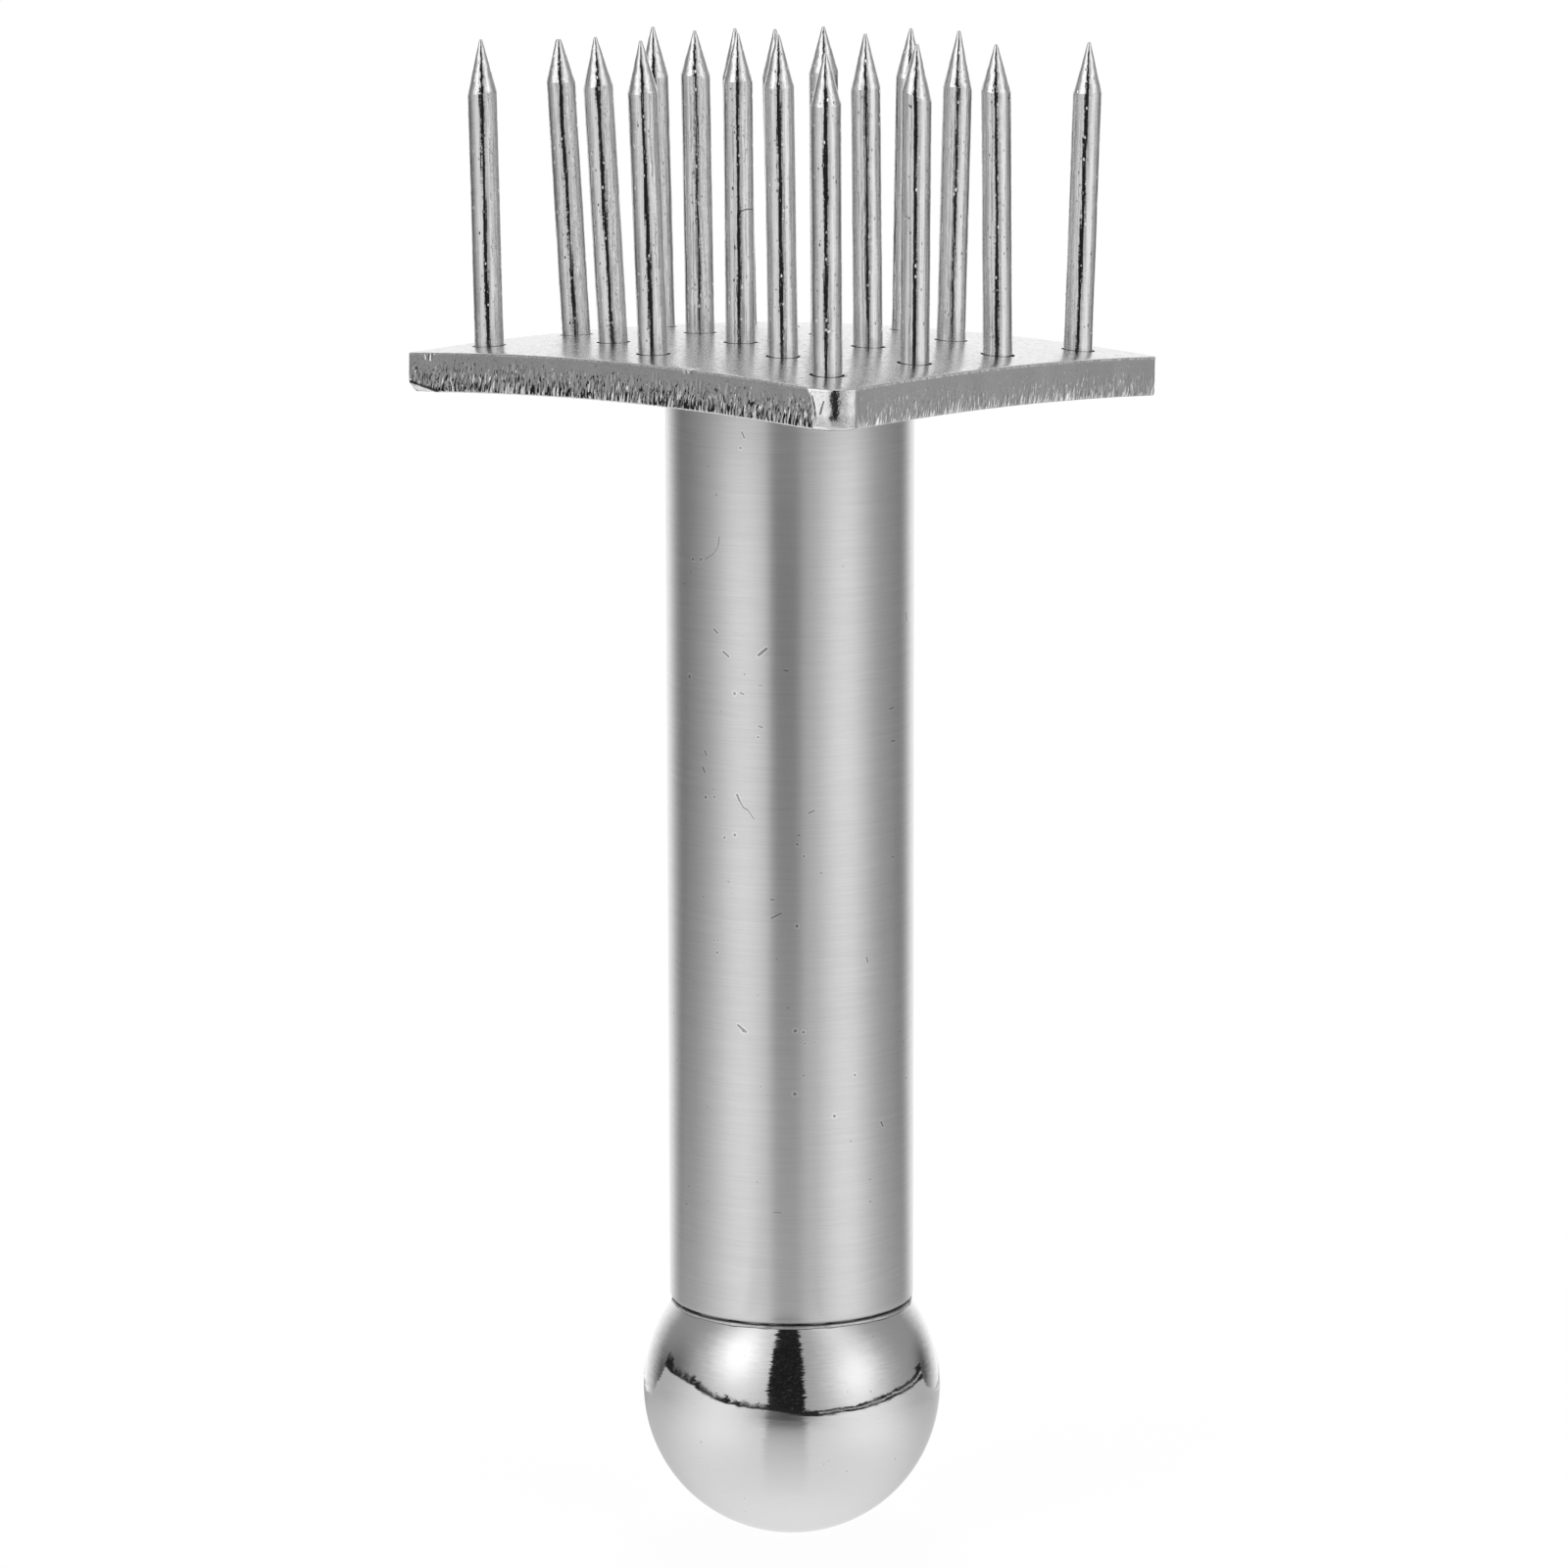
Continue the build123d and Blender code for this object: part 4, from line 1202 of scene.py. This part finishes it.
    tris = fill(border_top, rings_top, extra_top)
    index = np.concatenate(
        [np.arange(m)] + [hole_at[k] + np.arange(seg) for k in names] + [top_at + np.arange(len(extra_top))]
    )
    for f in index[tris]:
        faces.append(tuple(int(i) for i in f))
    mats += [0] * len(tris)
    tris = fill(border_low, rings_low, extra_low, lines)
    last = (n_rows - 1) * m
    ring_last = (len(hole_rows[names[0]]) - 1) * seg
    index = np.concatenate(
        [last + np.arange(m)]
        + [hole_at[k] + ring_last + np.arange(seg) for k in names]
        + [low_at + np.arange(len(extra_low))]
    )
    for f in index[tris]:
        faces.append(tuple(int(i) for i in f[::-1]))
    mats += [0] * len(tris)
    v = to_world(np.concatenate(blocks))
    pad = np.zeros(len(v) - n_rows * m)
    attrs = {key: np.concatenate([values, pad]) for key, values in per_point.items()}
    return piece("needle_plate_body", v, faces, [M_FACE, M_EDGE, M_HOLE_SHADE], ["needle_plate"], mats, 50, attrs)


# ----------------------------------------------------------------- the needles
def make_needle(name, seed):
    base, d, length = axis_of(name)
    cone, skew, way = NEEDLES[name][5], NEEDLES[name][6], math.radians(NEEDLES[name][7])
    tip_r = 0.34 if name in BLUNT else 0.18
    e1, e2 = cross_axes(d)
    seg = 48
    ang = np.arange(seg) * 2 * math.pi / seg
    circle = np.cos(ang)[:, None] * e1 + np.sin(ang)[:, None] * e2
    # direction of the skewed shoulder, set in world terms
    skew_at = math.atan2(
        math.cos(way) * e2[0] + math.sin(way) * e2[1], math.cos(way) * e1[0] + math.sin(way) * e1[1]
    )
    heel = -(PLATE_T - PLUG_DEPTH)
    shoulder = length - cone + skew * np.cos(ang - skew_at)
    half = math.atan2(NEEDLE_R - tip_r, cone - tip_r)
    meet_r, meet_z = tip_r * math.cos(half), length - tip_r + tip_r * math.sin(half)
    rows = []

    def add(r, z):
        rows.append(base + circle * np.broadcast_to(r, seg)[:, None] + d * np.broadcast_to(z, seg)[:, None])

    add(NEEDLE_R - 0.12, heel)
    add(NEEDLE_R, heel + 0.12)
    for k, t in enumerate(np.linspace(0, 1, 44)):
        z = (heel + 0.4) * (1 - t) + (shoulder - 0.10) * t
        r = NEEDLE_R - 0.006 - 0.006 * noise1(t * 21 + 3.3, seed) + 0.004 * noise2(ang * 19 / (2 * math.pi), np.full(seg, t * 9.0), seed + 1, 19)
        add(r, z)
    # the shoulder: a crisp ground edge with a trace of burr
    burr = 0.010 * noise1(ang * 17 / (2 * math.pi), seed + 2, 17)
    add(NEEDLE_R - 0.002 + burr * 0.5, shoulder - 0.035)
    add(NEEDLE_R - 0.016 + burr * 0.5, shoulder)
    for t in (0.03, 0.08, 0.16, 0.26, 0.38, 0.5, 0.62, 0.74, 0.84, 0.92, 1.0):
        r = (NEEDLE_R - 0.016) * (1 - t) + meet_r * t
        z = shoulder * (1 - t) + meet_z * t
        flat = 0.020 * noise2(ang * 9 / (2 * math.pi), np.full(seg, t * 5.0), seed + 3, 9) * math.sin(math.pi * t)
        add(r + flat, z)
    for a in np.radians([25, 50, 72]):
        a = half + (math.pi / 2 - half) * math.sin(a) ** 1.0 * 0.98 * (a / math.radians(75))
        add(tip_r * math.cos(a), length - tip_r + tip_r * math.sin(a))
    verts = np.concatenate(rows)
    faces = ring_faces(0, seg, len(rows))
    foot, point = len(verts), len(verts) + 1
    verts = np.concatenate([verts, [base + d * heel, base + d * length]])
    top = (len(rows) - 1) * seg
    for i in range(seg):
        j = (i + 1) % seg
        faces.append((foot, j, i))
        faces.append((top + i, top + j, point))
    return piece(name + "_pin", verts, faces, [M_NEEDLE], [name], None, 24)


# ------------------------------------------------------------------ weld plugs
def make_plugs():
    seg, verts, faces = 40, [], []
    ang = np.arange(seg) * 2 * math.pi / seg
    at = 0
    for number, name in enumerate(NEEDLES):
        base, d, _ = axis_of(name)
        b, w = to_plate(base), d @ PLATE_M
        e1, e2 = cross_axes(w)
        circle = np.cos(ang)[:, None] * e1 + np.sin(ang)[:, None] * e2
        heel = -(PLATE_T - PLUG_DEPTH) - 0.005
        flare = (PLUG_R - HOLE_R) / PLUG_DEPTH
        flush = name in UNDER_HANDLE
        rows = []
        for at_r, z in ((0.6, heel), (1.1, heel), (HOLE_R - 0.02, heel), (HOLE_R - 0.02 + flare * 0.4, heel - 0.4)):
            rows.append(b + circle * at_r + w * z)
        rim = b + circle * (HOLE_R - 0.02 + flare * PLUG_DEPTH)
        for _ in range(3):
            rim = rim + w * ((back(rim[:, 0], rim[:, 1]) - rim[:, 2]) / w[2])[:, None]
        rows.append(rim)
        centre = rim.mean(0)
        proud = 0.0 if flush else 0.28
        for t in (0.93, 0.84, 0.72, 0.58, 0.44, 0.30, 0.16):
            p = centre + (rim - centre) * t
            bead = proud * (1 - t * t) ** 0.6
            curl = 0.035 * np.sin(2.2 * t * 9 + ang * 1.0 + number) + 0.03 * noise2(ang * 7 / (2 * math.pi), np.full(seg, t * 4.0), 200 + number, 7)
            if flush:
                curl = 0.004 * noise2(ang * 13 / (2 * math.pi), np.full(seg, t * 6.0), 200 + number, 13) - 0.004
            edge = min(1.0, (1 - t) / 0.12)
            lift = np.clip(bead + curl * edge, 0.0, 0.30) if not flush else curl * edge
            p = p.copy()
            p[:, 2] = back(p[:, 0], p[:, 1]) - lift
            rows.append(p)
        block = np.concatenate(rows)
        n_rows = len(rows)
        faces += ring_faces(at, seg, n_rows, flip=True)
        mid_top = b + w * heel
        mid_low = centre.copy()
        mid_low[2] = back(centre[0], centre[1]) - (0.22 if not flush else 0.004)
        k = at + len(block)
        low = at + (n_rows - 1) * seg
        for i in range(seg):
            j = (i + 1) % seg
            faces.append((k, at + i, at + j))
            faces.append((k + 1, low + j, low + i))
        verts += [block, mid_top[None], mid_low[None]]
        at += len(block) + 2
    return piece("needle_weld_beads", to_world(np.concatenate(verts)), faces, [M_WELD], ["needle_weld_plugs"], None, 60)


# ------------------------------------------------------------------ the handle
def cut_height(x, y, radius):
    """Height of the flat cut under the plate's back at x, y."""
    sag = radius * radius / (2 * DOME_X) + 0.02
    nrm = PLATE_M @ np.array([0, 0, 1.0])
    p0 = to_world(np.array([0, 0, -PLATE_T - sag]))
    return p0[2] - (nrm[0] * (x - p0[0]) + nrm[1] * (y - p0[1])) / nrm[2]


def make_tube():
    seg = 192
    ang = np.arange(seg) * 2 * math.pi / seg
    verts, rows = [], 0

    def add(r, z):
        nonlocal rows
        r, z = np.broadcast_to(r, seg), np.broadcast_to(z, seg)
        verts.append(np.stack([r * np.cos(ang), r * np.sin(ang), z], 1))
        rows += 1

    top = cut_height(HANDLE_R * np.cos(ang), HANDLE_R * np.sin(ang), HANDLE_R + 0.3)
    seat = 15.25 + math.sqrt((BALL_R + 0.02) ** 2 - HANDLE_RI ** 2)  # where the bore meets the ball
    z0 = HANDLE_END
    add(HANDLE_RI, max(seat, z0) + 0.05)
    add(HANDLE_RI + 0.02, z0 + 0.6)
    # the lower end is seated on the ball
    for r in (11.45, 11.65, 11.85):
        zb = 15.25 + math.sqrt(max(0.0, (BALL_R + 0.02) ** 2 - r * r))
        add(r, max(z0, zb) + 0.0)
    for a in np.radians([0, 12, 24, 36, 48, 60, 72, 84, 90]):
        wear = 0.02 * noise1(ang * 31 / (2 * math.pi), 301, 31)
        add(HANDLE_R - LIP_R + (LIP_R - 0.01) * math.sin(a) + wear * math.sin(2 * a), z0 + LIP_R - LIP_R * math.cos(a) + wear * math.sin(2 * a) * 0.5)
    for t in np.linspace(0, 1, 120)[1:]:
        z = (z0 + LIP_R) * (1 - t) + top * t
        wave = 0.008 * noise2(ang * 11 / (2 * math.pi), z / 7.0, 302, 11) - 0.008
        add(HANDLE_R + wave, z)
    add(HANDLE_RI, cut_height(HANDLE_RI * np.cos(ang), HANDLE_RI * np.sin(ang), HANDLE_R + 0.3))
    v = np.concatenate(verts)
    faces = ring_faces(0, seg, rows)
    last = (rows - 1) * seg
    for i in range(seg):
        j = (i + 1) % seg
        faces.append((last + i, last + j, j, i))
    return piece("handle_tube_skin", v, faces, [M_TUBE], ["handle_tube"], None, 35)


def make_fillet():
    """The bead round the tube under the plate, with the ripple of a hand weld."""
    seg = 288
    ang = np.arange(seg) * 2 * math.pi / seg
    r_in = HANDLE_R + 0.01
    verts, rows = [], 0
    ripple = ang * 44 / (2 * math.pi)
    saw = ripple - np.floor(ripple)
    lump = 0.12 * (1 - (2 * saw - 1) ** 2) + 0.07 * noise1(ang * 60 / (2 * math.pi), 402, 60)
    wide = 0.12 * noise1(ang * 13 / (2 * math.pi), 403, 13)
    for t in np.linspace(0, 1, 11):
        # from the toe on the tube out to the toe on the plate
        hollow = 0.22 * math.sin(math.pi * t)
        r_out = r_in + 0.02 + (1.30 + wide) * t
        r = r_out - hollow * 0.4 + lump * math.sin(math.pi * t) * 0.7
        top = cut_height(r * np.cos(ang), r * np.sin(ang), HANDLE_R + 2.0)
        low = 117.15 - wide
        z = low + (top - low) * t + hollow * 0.7 - lump * math.sin(math.pi * t)
        z = np.minimum(z, top)
        verts.append(np.stack([r * np.cos(ang), r * np.sin(ang), z], 1))
        rows += 1
    top = cut_height(r_in * np.cos(ang), r_in * np.sin(ang), HANDLE_R + 2.0)
    verts.append(np.stack([r_in * np.cos(ang), r_in * np.sin(ang), top], 1))
    verts.append(np.stack([r_in * np.cos(ang), r_in * np.sin(ang), 0.5 * (low + top)], 1))
    rows += 2
    v = np.concatenate(verts)
    faces = ring_faces(0, seg, rows)
    last = (rows - 1) * seg
    for i in range(seg):
        j = (i + 1) % seg
        faces.append((last + i, last + j, j, i))
    return piece("handle_fillet_weld", v, faces, [M_WELD], ["handle_to_plate_weld"], None, 60)


# -------------------------------------------------------------------- the ball
SEAM_N = np.array(
    [math.sin(SEAM_SLOPE) * math.cos(SEAM_DOWN), math.sin(SEAM_SLOPE) * math.sin(SEAM_DOWN), math.cos(SEAM_SLOPE)]
)
SEAM_A = np.array([-math.sin(SEAM_DOWN), math.cos(SEAM_DOWN), 0.0])
SEAM_B = np.cross(SEAM_N, SEAM_A)
BALL_C = np.array([0, 0, BALL_R])


def seam_offset(shift):
    """Height of the plane above the ball's centre, along the seam's own up."""
    return float(np.dot(np.array([0, 0, SEAM_Z]) - BALL_C, SEAM_N)) + shift


def ball_ring(radius, height, seg, dr=0.0):
    ang = np.arange(seg) * 2 * math.pi / seg
    r = math.sqrt(max(0.0, radius * radius - height * height))
    way = np.cos(ang)[:, None] * SEAM_A + np.sin(ang)[:, None] * SEAM_B
    p = BALL_C + way * r + SEAM_N * height
    if np.any(dr):
        u = (p - BALL_C) / np.linalg.norm(p - BALL_C, axis=1)[:, None]
        p = p + u * np.broadcast_to(dr, seg)[:, None]
    return p


def make_half(name, node, up):
    seg = 192
    ang = np.arange(seg) * 2 * math.pi / seg
    h0 = seam_offset(SEAM_W / 2 if up else -SEAM_W / 2)
    rows = []
    outer, inner = BALL_R, BALL_R - BALL_WALL
    lat0 = math.asin(h0 / outer)
    end = math.pi / 2 if up else -math.pi / 2
    for k, t in enumerate(np.linspace(0, 1, 76)[:-1]):
        lat = lat0 + (end - lat0) * (t ** 1.0)
        h = outer * math.sin(lat)
        dr = 0.0
        if t > 0:
            dr = 0.006 * noise2(ang * 9 / (2 * math.pi), np.full(seg, t * 8.0), 500 + up, 9) * smooth(t, 0, 0.1) * (1 - smooth(t, 0.85, 1.0)) - 0.004 * smooth(t, 0, 0.1)
        rows.append(ball_ring(outer, h, seg, dr))
    pole = BALL_C + SEAM_N * outer * (1 if up else -1)
    lat1 = math.asin(h0 / inner)
    inside = []
    for t in np.linspace(0, 1, 30)[:-1]:
        lat = lat1 + (end - lat1) * t
        inside.append(ball_ring(inner, inner * math.sin(lat), seg))
    pole_in = BALL_C + SEAM_N * inner * (1 if up else -1)
    chain = rows[::-1] + inside  # pole side, out to the seam, in, and up inside
    verts = np.concatenate(chain + [pole[None], pole_in[None]])
    faces = ring_faces(0, seg, len(chain), flip=up)
    p_out, p_in = len(verts) - 2, len(verts) - 1
    last = (len(chain) - 1) * seg
    for i in range(seg):
        j = (i + 1) % seg
        a, b = (i, j), (last + i, last + j)
        if up:
            faces.append((p_out, a[0], a[1]))
            faces.append((p_in, b[1], b[0]))
        else:
            faces.append((p_out, a[1], a[0]))
            faces.append((p_in, b[0], b[1]))
    return piece(name, verts, faces, [M_BALL], [node], None, 40)


def make_seam():
    seg = 192
    ang = np.arange(seg) * 2 * math.pi / seg
    outer, inner = BALL_R, BALL_R - BALL_WALL
    # the seam is dressed flush at the front and stands a hair proud at the sides
    way = np.cos(ang)[:, None] * SEAM_A + np.sin(ang)[:, None] * SEAM_B
    front = way @ FRONT
    proud = 0.030 * (1 - smooth(front, 0.05, 0.35))
    rows = []
    lo_h, hi_h = seam_offset(-SEAM_W / 2), seam_offset(SEAM_W / 2)
    hs = np.linspace(lo_h, hi_h, 9)
    for k, h in enumerate(hs):
        bulge = math.sin(math.pi * k / 8)
        rows.append(ball_ring(outer, h, seg, proud * bulge if 0 < k < 8 else 0.0))
    for h in hs[::-1][::4]:
        rows.append(ball_ring(inner, h, seg))
    verts = np.concatenate(rows)
    n = len(rows)
    faces = ring_faces(0, seg, n)
    last = (n - 1) * seg
    for i in range(seg):
        j = (i + 1) % seg
        faces.append((last + i, last + j, j, i))
    return piece("ball_seam_bead", verts, faces, [M_BALL], ["ball_seam_weld"], None, 40)


def make_neck():
    """The thin bead that closes the joint between the tube's lip and the ball."""
    seg = 480
    ang = np.arange(seg) * 2 * math.pi / seg
    lump = noise1(ang * 90 / (2 * math.pi), 601, 90)
    slow = noise1(ang * 9 / (2 * math.pi), 602, 9)
    size = 0.18 + 0.05 * lump + 0.05 * slow
    r0, z0 = 12.15, 24.48
    verts, crease = [], []
    count = 16
    for k in range(count):
        a = -k * 2 * math.pi / count
        r = r0 + 0.02 * slow + size * 1.15 * math.cos(a)
        z = z0 + size * 1.25 * math.sin(a)
        # it stays outside the ball
        zb = 15.25 + np.sqrt(np.maximum(0.0, (BALL_R + 0.004) ** 2 - r * r))
        z = np.maximum(z, zb + 0.012 * max(0.0, math.sin(a)))
        verts.append(np.stack([r * np.cos(ang), r * np.sin(ang), z], 1))
        # painted shade where it meets the lip above and the ball below, and painted highlight on its outer crest, where
        # the values go below zero
        crease.append(np.full(seg, {0: -0.45, 15: -0.35, 1: 0.25, 14: 0.85, 2: 1.0}.get(k, 1.0)) * (0.8 + 0.2 * lump))
    v = np.concatenate(verts)
    faces = ring_faces(0, seg, count, flip=True)
    last = (count - 1) * seg
    for i in range(seg):
        j = (i + 1) % seg
        faces.append((i, j, last + j, last + i))
    attrs = {"crease": np.clip(np.concatenate(crease), -0.5, 1)}
    return piece("ball_neck_bead", v, faces, [M_WELD], ["ball_neck_weld"], None, 60, attrs)


make_plate()
for number, key in enumerate(NEEDLES):
    make_needle(key, 700 + 11 * number)
make_plugs()
make_tube()
make_fillet()
make_half("ball_upper_shell", "ball_upper_half", True)
make_half("ball_lower_shell", "ball_lower_half", False)
make_seam()
make_neck()
